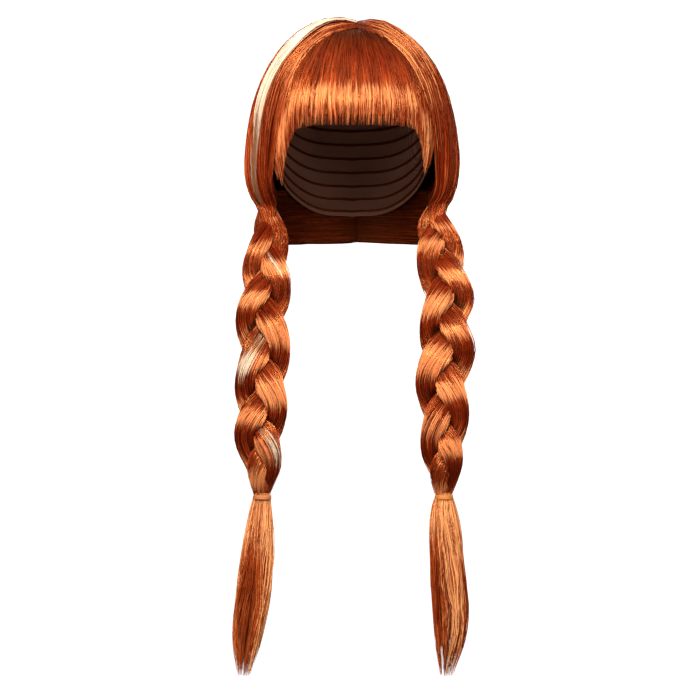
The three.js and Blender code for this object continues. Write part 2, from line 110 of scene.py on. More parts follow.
def points(x: Array, y: Array, z: Array) -> Array:
    """Points from their coordinates, each a number or an array."""
    return np.stack(np.broadcast_arrays(x, y, z), axis=-1).astype(float)


def unit(vectors: Array) -> Array:
    """Vectors of length 1."""
    return vectors / np.maximum(np.linalg.norm(vectors, axis=-1, keepdims=True), 1e-12)


def bezier(corners: Sequence[Array], t: Array) -> Array:
    """The point of a Bezier curve at t, from its three or four corners.

    Args:
        corners: The curve's corners.
        t: The share of the way along it.

    Returns:
        The point at each place.
    """
    layer = [np.broadcast_to(corner, np.shape(t) + (3,)) for corner in corners]
    while len(layer) > 1:
        layer = [mix(a, b, t[..., None]) for a, b in zip(layer, layer[1:])]
    return layer[0]


@dataclass(frozen=True)
class Block:
    """The wig block: the rounded form that the cap is made on, from its widest level."""

    half_width: float = 0.075
    front: float = 0.094
    back: float = 0.094
    crown_rise: float = 0.100
    roundness: float = 2.2
    softness: float = 36.0
    deep_inside: float = 1.5

    def grown(self, out: Array, side: Array = 0.0, back: Array = 0.0) -> "Block":
        """The block grown outwards.

        Args:
            out: How far it grows all round.
            side: How much more it grows to the right and left.
            back: How much more it grows to the back.

        Returns:
            The grown block.
        """
        return replace(
            self,
            half_width=self.half_width + out + side,
            front=self.front + out,
            back=self.back + out + back,
            crown_rise=self.crown_rise + out,
        )

    def share_of(self, p: Array) -> Array:
        """How large the block has to be to pass through a point.

        Args:
            p: The point, from the block's centre.

        Returns:
            The size as a share of the block's own.
        """
        depth = np.where(p[..., 1] < 0, self.front, self.back)
        total = (
            np.abs(p[..., 0] / self.half_width) ** self.roundness
            + np.abs(p[..., 1] / depth) ** self.roundness
            + np.abs(p[..., 2] / self.crown_rise) ** self.roundness
        )
        return total ** (1 / self.roundness)

    def on(self, azimuth: Array, angle: Array) -> Array:
        """A point on the block.

        Args:
            azimuth: The angle round from the brow.
            angle: The angle down from the crown.

        Returns:
            The point.
        """
        p = points(
            np.sin(azimuth) * np.sin(angle) * self.half_width,
            -np.cos(azimuth) * np.sin(angle) * self.front,
            np.cos(angle) * self.crown_rise,
        )
        return p / self.share_of(p)[..., None] + BLOCK_CENTRE

    def pushed_out(self, p: Array) -> Array:
        """A point moved outwards until it clears the block, with a soft bend.

        Args:
            p: The point.

        Returns:
            The point outside the block.
        """
        offset = p - BLOCK_CENTRE
        outward = 1 / np.maximum(self.share_of(offset), 1e-6)
        eased = (1 + np.minimum(outward, self.deep_inside) ** self.softness) ** (1 / self.softness)
        grow = np.where(outward > self.deep_inside, outward, eased)
        return offset * grow[..., None] + BLOCK_CENTRE


BLOCK = Block()
BLOCK_CENTRE = np.array([0.0, 0.0, -BLOCK.crown_rise])


@dataclass(frozen=True)
class Layers:
    """How thick the cap and the layers on it are, and the gaps between them."""

    cap_wall: float = 0.002
    seat_gap: float = 0.00035
    gap: float = 0.0009
    fringe_root: float = 0.002
    parting_gap: float = 0.0008
    parting_shift: float = 0.004


LAYERS = Layers()


@dataclass(frozen=True)
class Gather:
    """Where the hair is gathered into each braid."""

    drop: float = 0.158
    out: float = 0.077
    back: float = 0.006
    radius: float = 0.0085
    depth: float = 0.010


GATHER = Gather()


# --------------------------------------------------------------------------- node trees


class Field:
    """A node socket that plain formulas can add, subtract, scale, divide and raise to a power."""

    def __init__(self, plan: "Plan", socket: bpy.types.NodeSocket) -> None:
        """Keeps the socket and the plan it belongs to."""
        self.plan = plan
        self.socket = socket

    def __add__(self, other: object) -> "Field":
        """The sum."""
        return self.plan.math("ADD", self, other)

    __radd__ = __add__

    def __sub__(self, other: object) -> "Field":
        """The difference."""
        return self.plan.math("SUBTRACT", self, other)

    def __rsub__(self, other: object) -> "Field":
        """The difference, the other way round."""
        return self.plan.math("SUBTRACT", other, self)

    def __mul__(self, other: object) -> "Field":
        """The product."""
        return self.plan.math("MULTIPLY", self, other)

    __rmul__ = __mul__

    def __truediv__(self, other: object) -> "Field":
        """The quotient."""
        return self.plan.math("DIVIDE", self, other)

    def __pow__(self, other: object) -> "Field":
        """The power."""
        return self.plan.math("POWER", self, other)


class Plan:
    """Writes a Geometry Nodes tree or a material's tree, one node a call."""

    def __init__(self, tree: bpy.types.NodeTree) -> None:
        """Starts with the tree to write to."""
        self.tree = tree

    def node(self, kind: str, values: Sequence[object] = (), **settings: object) -> bpy.types.Node:
        """Adds a node.

        Args:
            kind: The node's type.
            values: What goes to its shown inputs in order; None leaves one alone.
            settings: The node's own options.

        Returns:
            The new node.
        """
        made = self.tree.nodes.new(kind)
        for name, value in settings.items():
            setattr(made, name, value)
        shown = [socket for socket in made.inputs if socket.enabled]
        for socket, value in zip(shown, values):
            if isinstance(value, Field):
                self.tree.links.new(value.socket, socket)
            elif value is not None:
                socket.default_value = value
        return made

    def add(self, kind: str, values: Sequence[object] = (), take: int = 0, **settings: object) -> Field:
        """Adds a node and takes one of its shown outputs as a field."""
        made = self.node(kind, values, **settings)
        return Field(self, [socket for socket in made.outputs if socket.enabled][take])

    def math(self, operation: str, *values: object) -> Field:
        """Adds a Math node."""
        return self.add("ShaderNodeMath", values, operation=operation)

    def ramp(
        self, value: object, low: object, high: object, start: object = 0.0, end: object = 1.0
    ) -> Field:
        """A smooth step from start, where a value is low, to end, where it is high."""
        values = (value, low, high, start, end)
        return self.add("ShaderNodeMapRange", values, interpolation_type="SMOOTHSTEP")

    def noise(self, x: object, y: object, z: object, scale: object = 1.0, detail: float = 2.0) -> Field:
        """Noise from 0 to 1 at a place."""
        place = self.add("ShaderNodeCombineXYZ", (x, y, z))
        return self.add("ShaderNodeTexNoise", (place, scale, detail))

    def place(self) -> list[Field]:
        """The object's own x, y and z in a material."""
        parts = self.node("ShaderNodeSeparateXYZ", (self.add("ShaderNodeTexCoord", take=3),))
        return [Field(self, socket) for socket in parts.outputs]

    def wire(self, node: bpy.types.Node, name: str, value: Field) -> None:
        """Links a field to a node's input."""
        self.tree.links.new(value.socket, node.inputs[name])

    def close(self, shape: Field, finish: Field, name: str) -> None:
        """Ends a Geometry Nodes tree: shaded smooth, realised and with its finish.

        Args:
            shape: What the tree has made.
            finish: The material.
            name: The output's name.
        """
        self.tree.interface.new_socket(name, in_out="OUTPUT", socket_type="NodeSocketGeometry")
        shape = self.add("GeometryNodeSetShadeSmooth", (shape, None, True))
        shape = self.add("GeometryNodeRealizeInstances", (shape,))
        shape = self.add("GeometryNodeSetMaterial", (shape, None, finish))
        self.wire(self.tree.nodes.new("NodeGroupOutput"), name, shape)

    def given(self, **kinds: str) -> dict[str, Field]:
        """Adds the tree's named inputs.

        Args:
            kinds: The kind of socket for each name.

        Returns:
            A field for each name.
        """
        for name, kind in kinds.items():
            self.tree.interface.new_socket(name, in_out="INPUT", socket_type="NodeSocket" + kind)
        source = self.tree.nodes.new("NodeGroupInput")
        return {name: Field(self, source.outputs[name]) for name in kinds}


@dataclass(frozen=True)
class StrandHabit:
    """How strands share out into locks, sway, sink in, stray and thin out."""

    lock_grain: float = 0.8
    lock_unevenness: float = 1.2
    draw_end: float = 1.02
    sway_grain: float = 0.7
    sway_turns: float = 2.2
    sway_share: float = 1.4
    lone_grain: float = 3.17
    lone_turns: float = 3.0
    lone_share: float = 0.7
    rim: float = 0.002
    sink_bias: float = 1.6
    hump_low: float = 0.4
    hump_grain: float = 1.9
    hump_turns: float = 1.6
    stray_grain: float = 1.7
    stray_turns: float = 2.4
    stray_level: float = 0.45
    stray_rarity: float = 6.0
    thinnest: float = 0.55
    width_range: float = 0.9
    tip_thinning: float = 0.88
    swell_reach: float = 0.05
    root_width: float = 0.45
    ring_sides: int = 3


HABIT = StrandHabit()


def strand_tree() -> bpy.types.NodeTree:
    """The tree that grows strands on a surface with a StrandUV map and a core attribute.

    The bare numbers in its noise calls only set one noise apart from the next.

    Returns:
        The tree.
    """
    tree = bpy.data.node_groups.new("hair_strands", "GeometryNodeTree")
    plan = Plan(tree)
    g = plan.given(
        Surface="Geometry", Strands="Int", Steps="Int", Radius="Float", Tip="Float", Locks="Float",
        Ridge="Float", Draw="Float", DrawFrom="Float", Wander="Float", Depth="Float", Stray="Float",
        RootSpread="Float", TipSpread="Float", Wrap="Float", Seed="Int", Finish="Material",
    )

    def chance(step: int) -> Field:
        """A random number for each strand."""
        drawn = plan.add("FunctionNodeRandomValue", (0.0, 1.0, None, plan.math("ADD", g["Seed"], step)))
        return plan.add("GeometryNodeFieldOnDomain", (drawn,), domain="CURVE", data_type="FLOAT")

    def within(value: Field) -> Field:
        """A share kept just inside the surface's map."""
        return plan.math("MINIMUM", plan.math("MAXIMUM", value, HABIT.rim), 1.0 - HABIT.rim)

    seeds = plan.add("GeometryNodePoints", (g["Strands"],))
    line = plan.add("GeometryNodeCurvePrimitiveLine", ((0, 0, 0), (0, 0, 1)))
    line = plan.add("GeometryNodeResampleCurve", (line, None, g["Steps"]))
    strands = plan.add("GeometryNodeInstanceOnPoints", (seeds, None, line))
    strands = plan.add("GeometryNodeRealizeInstances", (strands,))

    index = plan.add("GeometryNodeInputIndex")
    index = plan.add("GeometryNodeFieldOnDomain", (index,), domain="CURVE", data_type="INT")
    factor = plan.add("GeometryNodeSplineParameter")
    own = (index + chance(1)) / g["Strands"]
    start = chance(2) * g["RootSpread"]
    end = 1.0 - chance(3) ** 2.0 * g["TipSpread"]
    along = start + factor * (end - start)

    # Locks: uneven groups of strands, drawn together towards their tips
    warp = plan.noise(own * g["Locks"] * HABIT.lock_grain, plan.math("MULTIPLY", g["Seed"], 3.7), 0.0)
    warp = (warp - 0.5) * HABIT.lock_unevenness
    place = own * g["Locks"] + warp
    lock = plan.math("FLOOR", place)
    middle = (lock + 0.5 - warp) / g["Locks"]
    pull = plan.ramp(along, g["DrawFrom"], HABIT.draw_end) * g["Draw"]
    across = own + (middle - own) * pull
    spread = own * g["Locks"] * HABIT.sway_grain
    sway = plan.noise(spread, along * HABIT.sway_turns, plan.math("MULTIPLY", g["Seed"], 1.3)) - 0.5
    lone = plan.noise(index * HABIT.lone_grain, along * HABIT.lone_turns, 5.0) - 0.5
    across = across + (sway * HABIT.sway_share + lone * HABIT.lone_share) * g["Wander"]
    held = within(across)
    round_ = plan.math("FRACT", across)
    across = held + (round_ - held) * g["Wrap"]

    # Each point goes to its place on the surface, then down into the hair or up on its lock's ridge
    spot = plan.add("ShaderNodeCombineXYZ", (across, within(along), 0.0))
    uv = plan.add("GeometryNodeInputNamedAttribute", ("StrandUV",), data_type="FLOAT_VECTOR")

    def sampled(value: Field, kind: str = "FLOAT_VECTOR") -> Field:
        """The surface's value where the strand lies."""
        return plan.add("GeometryNodeSampleUVSurface", (g["Surface"], value, uv, spot), data_type=kind)

    def number_at(name: str) -> Field:
        """A number that the surface carries, where the strand lies."""
        return sampled(plan.add("GeometryNodeInputNamedAttribute", (name,), data_type="FLOAT"), "FLOAT")

    skin = sampled(plan.add("GeometryNodeInputPosition"))
    out = sampled(plan.add("GeometryNodeInputNormal"))
    core = sampled(plan.add("GeometryNodeInputNamedAttribute", ("core",), data_type="FLOAT_VECTOR"))
    deep = 1.0 - (1.0 - g["Depth"]) * chance(4) ** HABIT.sink_bias
    crest = plan.math("COSINE", (place - lock - 0.5) * math.pi)
    hump = plan.noise(lock * HABIT.hump_grain, along * HABIT.hump_turns, 2.0)
    hump = HABIT.hump_low + (1.0 - HABIT.hump_low) * hump
    loose = plan.noise(index * HABIT.stray_grain, along * HABIT.stray_turns, 9.0) - HABIT.stray_level
    rare = plan.math("POWER", chance(6), HABIT.stray_rarity) * HABIT.stray_rarity
    lift = g["Ridge"] * crest * hump * deep + loose * g["Stray"] * rare
    rise = plan.add("ShaderNodeVectorMath", (out, lift), operation="SCALE")
    base = plan.add("ShaderNodeMix", (deep, core, skin), data_type="VECTOR")
    spot_out = plan.add("ShaderNodeVectorMath", (base, rise), operation="ADD")
    strands = plan.add("GeometryNodeSetPosition", (strands, None, spot_out))

    taper = 1.0 - plan.ramp(factor, 1.0 - g["Tip"], 1.0, 0.0, HABIT.tip_thinning)
    swell = plan.ramp(factor, 0.0, HABIT.swell_reach, HABIT.root_width, 1.0)
    width = g["Radius"] * (HABIT.thinnest + HABIT.width_range * chance(5)) * taper * swell
    # The depth and gleam marks carry painted shade and painted highlights to the finish: depth is low for
    # strands deep in the hair, between lock crests and in creases
    marks = {
        "strand": chance(7),
        "lock": plan.noise(lock * 5.3, 1.0, 3.0),
        "along": along,
        "across": across,
        "depth": deep * (0.6 + 0.4 * crest) * number_at("open"),
        "gleam": number_at("gleam"),
        "pale": number_at("pale"),
    }
    for name, value in marks.items():
        kept = (strands, None, name, value)
        strands = plan.add("GeometryNodeStoreNamedAttribute", kept, data_type="FLOAT", domain="POINT")
    strands = plan.add("GeometryNodeSetCurveRadius", (strands, None, 1.0))
    ring = plan.add("GeometryNodeCurvePrimitiveCircle", (HABIT.ring_sides, 1.0))
    plan.close(plan.add("GeometryNodeCurveToMesh", (strands, ring, width, True)), g["Finish"], "Hair")
    return tree


def grown(
    surface: bpy.types.Object, tree: bpy.types.NodeTree, settings: dict[str, object]
) -> bpy.types.Object:
    """Replaces an object's mesh by what a node tree makes of it.

    Args:
        surface: The object that the tree starts from.
        tree: The tree.
        settings: A value for each of the tree's named inputs.

    Returns:
        The same object with a plain mesh.
    """
    modifier = surface.modifiers.new("growth", "NODES")
    modifier.node_group = tree
    for item in tree.interface.items_tree:
        if item.in_out == "INPUT" and item.name in settings:
            modifier[item.identifier] = settings[item.name]
    graph = bpy.context.evaluated_depsgraph_get()
    made = bpy.data.meshes.new_from_object(surface.evaluated_get(graph))
    surface.modifiers.remove(modifier)
    old = surface.data
    surface.data = made
    made.name = surface.name
    bpy.data.meshes.remove(old)
    return surface


# --------------------------------------------------------------------------- finishes


def tone(red: int, green: int, blue: int) -> tuple[float, float, float, float]:
    """A linear colour from one given in 0 to 255."""
    parts = [(c / 255 + 0.055) / 1.055 if c > 10 else c / 255 / 12.92 for c in (red, green, blue)]
    return tuple(p**2.4 if c > 10 else p for p, c in zip(parts, (red, green, blue))) + (1.0,)


def blank(name: str) -> tuple[bpy.types.Material, Plan, bpy.types.Node]:
    """Starts a material.

    Args:
        name: The material's name.

    Returns:
        The material, the plan that writes its nodes, and its shader.
    """
    material = bpy.data.materials.new(name)
    material.use_nodes = True
    return material, Plan(material.node_tree), material.node_tree.nodes["Principled BSDF"]


@dataclass(frozen=True)
class HairFinish:
    """Glossy fibre from deep to light, with painted highlights, and painted shade at its roots and between
    its locks.
    """

    name: str
    slot: str
    deep: Rgb = (82, 13, 3)
    body: Rgb = (122, 32, 7)
    light: Rgb = (166, 60, 18)
    # Painted highlight: the golden tint laid where the hair would glint
    painted_highlight: Rgb = (230, 140, 84)
    # Painted shade: the dark tone for the roots, the hair between locks and the creases
    root: Rgb = (36, 5, 1)
    root_reach: float = 0.05
    root_depth: float = 0.3
    root_roughness: float = 0.3
    # The pale lock's own colour, and the painted shade it takes where no highlight is painted
    pale: Rgb = (226, 202, 172)
    pale_in_shade: Rgb = (134, 86, 54)
    pale_raggedness: float = 0.8
    roughness: float = 0.3
    # Painted shade: how dark the creases and the hair deep between locks get
    crease: float = 0.92
    # Painted shade: how far the hair between painted highlights is darkened
    painted_shade: float = 0.5
    painted_shade_below: float = 0.3
    gloss: Rgb = (255, 150, 82)
    ior: float = 2.1
    streak_grain: float = 260.0
    streak_turns: float = 5.0
    drift_grain: float = 14.0
    drift_turns: float = 3.0
    painted_highlight_from: float = 1.0
    painted_highlight_full: float = 1.6
    bump_strength: float = 0.25
    bump_depth: float = 0.0004

    def make(self) -> bpy.types.Material:
        """Builds the material from the numbers that the strands carry.

        Returns:
            The material.
        """
        material, plan, shader = blank(self.name)

        def mark(name: str) -> Field:
            """A number that the strands carry."""
            return plan.add("ShaderNodeAttribute", take=2, attribute_name=name)

        # Tint: by the strand, by fine streaks along it, by its lock and by broad patches
        grain, turns = mark("across") * self.streak_grain, mark("along") * self.streak_turns
        streak = plan.ramp(plan.noise(grain, turns, mark("lock") * 9.0, 1.0, 3.0), 0.34, 0.66)
        group = plan.ramp(mark("lock"), 0.3, 0.7)
        grain, turns = mark("across") * self.drift_grain, mark("along") * self.drift_turns
        drift = plan.ramp(plan.noise(grain, turns, 3.0), 0.35, 0.65)
        tint = mark("strand") * 0.34 + streak * 0.22 + group * 0.2 + drift * 0.24
        ramp = plan.node("ShaderNodeValToRGB", (tint,))
        stops = ramp.color_ramp.elements
        stops[0].position, stops[0].color = 0.12, tone(*self.deep)
        stops[1].position, stops[1].color = 0.88, tone(*self.light)
        stops.new(0.5).color = tone(*self.body)
        colour = Field(plan, ramp.outputs["Color"])

        def mixed(share: Field, other: object) -> Field:
            """The colour so far, drawn towards another one."""
            return plan.add("ShaderNodeMix", (share, colour, other), data_type="RGBA")

        # Painted highlights, golden and ragged from fibre to fibre, with painted shade on the hair between
        # them
        gleam = mark("gleam") + mark("strand") * 0.5 + streak * 0.3 + group * 0.3
        painted_shade_share = plan.ramp(mark("gleam"), self.painted_shade_below, 0.05, 0.0, self.painted_shade)
        colour = mixed(painted_shade_share, tone(*self.deep))
        colour = mixed(plan.ramp(gleam, self.painted_highlight_from, self.painted_highlight_full), tone(*self.painted_highlight))
        # The pale lock is mixed from its own colour and its painted shade by the same highlight
        bright = plan.ramp(gleam, 0.7, 1.4)
        tones = (bright, tone(*self.pale_in_shade), tone(*self.pale))
        pale_tone = plan.add("ShaderNodeMix", tones, data_type="RGBA")
        pale = plan.ramp(mark("pale") + (mark("strand") - 0.5) * self.pale_raggedness, 0.4, 0.6)
        colour = mixed(pale, pale_tone)

        # Shade: at the roots, between locks and in the creases
        reach = mark("along") + streak * 0.06
        rooted = plan.ramp(reach, self.root_reach + 0.03, 0.03, 0.0, self.root_depth)
        colour = mixed(rooted * (1.0 - pale), tone(*self.root))
        shaded = plan.ramp(mark("depth"), 0.8, 0.15, 0.0, self.crease)
        colour = mixed(shaded, tone(*self.root))
        plan.wire(shader, "Base Color", colour)
        rough = plan.ramp(streak, 0.2, 0.8, self.roughness - 0.05, self.roughness + 0.12)
        plan.wire(shader, "Roughness", rough + rooted * self.root_roughness)
        bump = plan.add("ShaderNodeBump", (self.bump_strength, self.bump_depth, None, streak))
        plan.wire(shader, "Normal", bump)
        shader.inputs["IOR"].default_value = self.ior
        shader.inputs["Specular Tint"].default_value = tone(*self.gloss)
        return material


COPPER = HairFinish("copper_fibre", "copper_hair")
# Painted shade: a darker copy of the copper fibre, for the nape hair that hangs in shade behind the neck
# and for the wefts inside the cap
SHADED_COPPER = HairFinish("nape_fibre_shaded", "deep_hair", deep=(62, 15, 3), body=(88, 27, 6), light=(122, 44, 12),
                  painted_highlight=(150, 62, 24), roughness=0.5, ior=1.5, painted_shade=0.0)
ENDS = HairFinish("tail_fibre", "tail_hair", deep=(104, 26, 6), body=(156, 62, 22), light=(206, 112, 56),
                  painted_highlight=(238, 164, 104), root=(100, 26, 8), roughness=0.34, ior=1.7, crease=0.5)
# Painted shade: the fringe is darkened from its roots over most of its length, above its painted highlight
# band
FRINGE = replace(COPPER, name="fringe_fibre", root_reach=0.62, root_depth=0.9, painted_shade=0.2)
PALE = HairFinish("pale_fibre", "pale_hair", root_depth=0.0, gloss=(255, 240, 214))


# --------------------------------------------------------------------------- meshes


def mesh_object(name: str, verts: Array, faces: Sequence[Sequence[int]]) -> bpy.types.Object:
    """A mesh object in the scene, shaded smooth.

    Args:
        name: The object's name.
        verts: Its vertices.
        faces: Its faces, by their vertices.

    Returns:
        The object.
    """
    mesh = bpy.data.meshes.new(name)
    mesh.from_pydata(np.asarray(verts).reshape(-1, 3).tolist(), [], [list(f) for f in faces])
    mesh.polygons.foreach_set("use_smooth", [True] * len(mesh.polygons))
    made = bpy.data.objects.new(name, mesh)
    bpy.context.scene.collection.objects.link(made)
    return made


def grid_faces(rows: int, columns: int, around: bool = False) -> list[tuple[int, int, int, int]]:
    """The faces of a grid of vertices.

    Args:
        rows: How many rows it has.
        columns: How many vertices each row has.
        around: Whether the rows close round.

    Returns:
        The faces, by their vertices.
    """
    faces = []
    for low in range(0, (rows - 1) * columns, columns):
        for c in range(columns if around else columns - 1):
            turn = (c + 1) % columns
            faces.append((low + c, low + turn, low + columns + turn, low + columns + c))
    return faces


def number(mesh: bpy.types.Mesh, name: str, values: Array) -> None:
    """Stores a number on each vertex."""
    kept = mesh.attributes.new(name, "FLOAT", "POINT").data
    kept.foreach_set("value", np.ravel(values).astype(np.float32))


def turned_out(made: bpy.types.Object) -> None:
    """Points a closed mesh's faces outwards.

    Args:
        made: The object.
    """
    work = bmesh.new()
    work.from_mesh(made.data)
    bmesh.ops.recalc_face_normals(work, faces=work.faces)
    work.to_mesh(made.data)
    work.free()


@dataclass
class Hair:
    """A body of hair given by an outer and an inner face, dressed with strands.

    Across and along run from 0 to 1: across the hair, and from its roots to its tips.
    """

    node: str
    finish: HairFinish = COPPER
    strands: int = 1200
    steps: int = 16
    radius: float = 0.0004
    locks: float = 22.0
    ridge: float = 0.0008
    draw: float = 0.25
    draw_from: float = 0.3
    wander: float = 0.03
    depth: float = 0.55
    stray: float = 0.0015
    tip: float = 0.2
    root_spread: float = 0.01
    tip_spread: float = 0.04
    seed: int = 1
    around: bool = False
    lined: bool = False
    under_reach: float = 1.0
    bulk: float = 0.9
    rows: int = 61
    columns: int = 61

    def outer(self, across: Array, along: Array) -> Array:
        """The outer face."""
        raise NotImplementedError

    def inner(self, across: Array, along: Array) -> Array:
        """The inner face, or the core of a round bundle."""
        raise NotImplementedError

    def open(self, across: Array, along: Array) -> Array:
        """How open the hair lies to the light: 1 outside and 0 in a crease."""
        return np.ones(np.shape(across))

    def gleam(self, across: Array, along: Array) -> Array:
        """How strong the painted highlight is: 0 plain copper and 1 full gold."""
        return np.zeros(np.shape(across))

    def pale(self, across: Array, along: Array) -> Array:
        """Where the hair is pale: 1 on a pale lock and 0 elsewhere."""
        return np.zeros(np.shape(across))

    def grid(self) -> tuple[Array, Array]:
        """Across and along at each vertex of the surface's grid."""
        return np.meshgrid(np.linspace(0, 1, self.columns), np.linspace(0, 1, self.rows))

    def surface(self, name: str, inside: bool) -> bpy.types.Object:
        """The outer or inner face as a grid with the map and the core that strands follow.

        Args:
            name: The object's name.
            inside: Whether it is the inner face.

        Returns:
            The object.
        """
        across, along = self.grid()
        skin, heart = self.outer(across, along), self.inner(across, along)
        if inside:
            skin, heart = heart, skin
        made = mesh_object(name, skin, grid_faces(self.rows, self.columns))
        core = made.data.attributes.new("core", "FLOAT_VECTOR", "POINT")
        core.data.foreach_set("vector", np.ravel(heart).astype(np.float32))
        number(made.data, "open", self.open(across, along))
        number(made.data, "gleam", self.gleam(across, along))
        number(made.data, "pale", self.pale(across, along))
        layer = made.data.uv_layers.new(name="StrandUV")
        corners = np.empty(len(made.data.loops), np.int32)
        made.data.loops.foreach_get("vertex_index", corners)
        pairs = np.stack([across.ravel(), along.ravel()], axis=-1)[corners]
        layer.uv.foreach_set("vector", np.ravel(pairs).astype(np.float32))
        normals = np.empty(len(made.data.vertices) * 3, np.float32)
        made.data.vertices.foreach_get("normal", normals)
        if (normals.reshape(-1, 3) * (skin - heart).reshape(-1, 3)).sum() < 0:
            made.data.flip_normals()
        return made

    def grow(self, tree: bpy.types.NodeTree, inside: bool = False) -> bpy.types.Object:
        """Grows the strands on the outer or the inner face.

        Args:
            tree: The tree that makes the strands.
            inside: Whether they lie on the inner face.

        Returns:
            The strands.
        """
        material = finish_of(self.finish)
        name = self.node + ("_lining" if inside else "_strands")
        return grown(self.surface(name, inside), tree, {
            "Strands": self.strands, "Steps": self.steps, "Radius": self.radius, "Tip": self.tip,
            "Locks": self.locks, "Ridge": self.ridge, "Draw": self.draw, "DrawFrom": self.draw_from,
            "Wander": self.wander, "Depth": self.depth, "Stray": self.stray, "RootSpread": self.root_spread,
            "TipSpread": self.tip_spread, "Wrap": float(self.around), "Seed": self.seed, "Finish": material,
        })

    def under(self) -> bpy.types.Object:
        """The solid bulk of the hair under its strands.

        Returns:
            The object, with the numbers that its finish reads.
        """
        across, along = self.grid()
        along = along * self.under_reach
        if self.around:
            across, along = across[:, :-1], along[:, :-1]
        rows, columns = across.shape
        core = self.inner(across, along)
        skin = mix(core, self.outer(across, along), self.bulk)
        if self.around:
            faces = grid_faces(rows, columns, True)
            verts = np.concatenate([skin.reshape(-1, 3), skin[[0, -1]].mean(axis=1)])
            top, low = rows * columns, rows * columns + 1
            last = (rows - 1) * columns
            faces += [((c + 1) % columns, c, top) for c in range(columns)]
            faces += [(last + c, last + (c + 1) % columns, low) for c in range(columns)]
            wide, long = np.append(across.ravel(), [0.5, 0.5]), np.append(along.ravel(), [0, 1])
        else:
            verts = np.concatenate([skin.reshape(-1, 3), core.reshape(-1, 3)])
            size = rows * columns
            front = grid_faces(rows, columns)
            faces = front + [tuple(i + size for i in reversed(f)) for f in front]
            rim = list(range(columns)) + [r * columns + columns - 1 for r in range(1, rows)]
            rim += [size - 1 - c for c in range(1, columns)]
            rim += [r * columns for r in range(rows - 2, 0, -1)]
            faces += [(b, a, a + size, b + size) for a, b in zip(rim, rim[1:] + rim[:1])]
            wide, long = np.tile(across.ravel(), 2), np.tile(along.ravel(), 2)
        made = mesh_object(self.node + "_under", verts, faces)
        turned_out(made)
        # Painted shade: the bulk under the strands is marked part deep, and its finish darkens it by that
        marks = {
            "across": wide,
            "along": long,
            "strand": np.full(len(wide), 0.2),
            "lock": np.full(len(wide), 0.3),
            "depth": 0.4 * self.open(wide, long),
            "gleam": self.gleam(wide, long),
            "pale": self.pale(wide, long),
        }
        for name, values in marks.items():
            number(made.data, name, values)
        made.data.materials.append(finish_of(self.finish))
        return made

    def build(self, tree: bpy.types.NodeTree) -> None:
        """Makes the hair's pieces and sets them in the frame.

        Args:
            tree: The tree that makes the strands.
        """
        pieces = [self.under(), self.grow(tree)]
        if self.lined:
            pieces.append(self.grow(tree, inside=True))
        for piece in pieces:
            place(piece, self.finish.slot, self.node)


FINISHES: dict[str, bpy.types.Material] = {}


def finish_of(finish: HairFinish) -> bpy.types.Material:
    """The material of a finish, made once.

    Args:
        finish: The finish.

    Returns:
        Its material.
    """
    if finish.name not in FINISHES:
        FINISHES[finish.name] = finish.make()
    return FINISHES[finish.name]


def place(piece: bpy.types.Object, slot: str, *nodes: str) -> None:
    """Sets a finished piece in the frame and reports it.

    Args:
        piece: The piece.
        slot: Not used.
        nodes: The solids that it stands for.
    """
    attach(piece, BODY)
    if nodes:
        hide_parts(*nodes)
    triangles = sum(len(face.vertices) - 2 for face in piece.data.polygons)
    LOG.info("%s: %d triangles", piece.name, triangles)


# --------------------------------------------------------------------------- the wig's hair


def away_from(middle: Callable[[Array, Array], Array], wide: Array, long: Array, side: Side) -> Array:
    """The outward direction at a place of a side's thin body of hair.

    Args:
        middle: Gives the point of the middle layer at two shares.
        wide: The first share.
        long: The second share.
        side: The side that the hair is on.

    Returns:
        A vector of length 1 at each place.
    """
    step = 0.01
    first = middle(np.minimum(wide + step, 1), long) - middle(np.maximum(wide - step, 0), long)
    second = middle(wide, np.minimum(long + step, 1)) - middle(wide, np.maximum(long - step, 0))
    return unit(np.cross(first, second)) * -side.value


@dataclass
class Fringe(Hair):
    """The sheet of hair that falls from the crown to the brow, longer at the temples."""

    drop: float = 0.092
    root_angle: float = math.radians(20)
    spread: float = math.radians(66)
    tip_depth: float = 0.007
    lift: float = 0.005
    glint: Sequence[float] = (0.6, 0.74, 0.79, 0.88)
    glint_gain: float = 0.75
    glint_loss: float = 0.32
    edge: Rows = (
        (-1, 1.36), (-0.87, 1.56), (-0.76, 1.42), (-0.64, 1.16), (-0.52, 1.03), (0, 1),
        (0.58, 1.02), (0.69, 1.08), (0.78, 1.27), (0.87, 1.46), (1, 1.34),
    )

    def gleam(self, across: Array, along: Array) -> Array:
        """A painted highlight band over the brow, from one place along the fringe to another.

        Args:
            across: Not used.
            along: The share from its roots to its tips.

        Returns:
            How strong the painted highlight is.
        """
        start, full, fade, end = self.glint
        band = ease(along, start, full) * (1 - self.glint_loss * ease(along, fade, end))
        return 0.1 * along + self.glint_gain * band

    def face(self, across: Array, along: Array, outer: bool) -> Array:
        """A point of the fringe's outer or inner face.

        Args:
            across: The share across the hair.
            along: The share from its roots to its tips.
            outer: Whether it is the outer face.

        Returns:
            The point at each place.
        """
        wide = 2 * across - 1
        body = along * (1 - wide**2) ** 2
        rest = LAYERS.cap_wall + LAYERS.gap + self.lift * body
        depth = mix(LAYERS.fringe_root, self.tip_depth, body) * mix(1, 0.4, ease(along, 0.8, 1))
        shell = BLOCK.grown(rest + (depth if outer else 0))
        length = self.drop * read(self.edge, 1, wide)
        tip = np.arccos((BLOCK.crown_rise + LAYERS.cap_wall - length) / shell.crown_rise)
        return shell.on(wide * self.spread, mix(self.root_angle, tip, along))

    def outer(self, across: Array, along: Array) -> Array:
        """The outer face."""
        return self.face(across, along, True)

    def inner(self, across: Array, along: Array) -> Array:
        """The inner face."""
        return self.face(across, along, False)


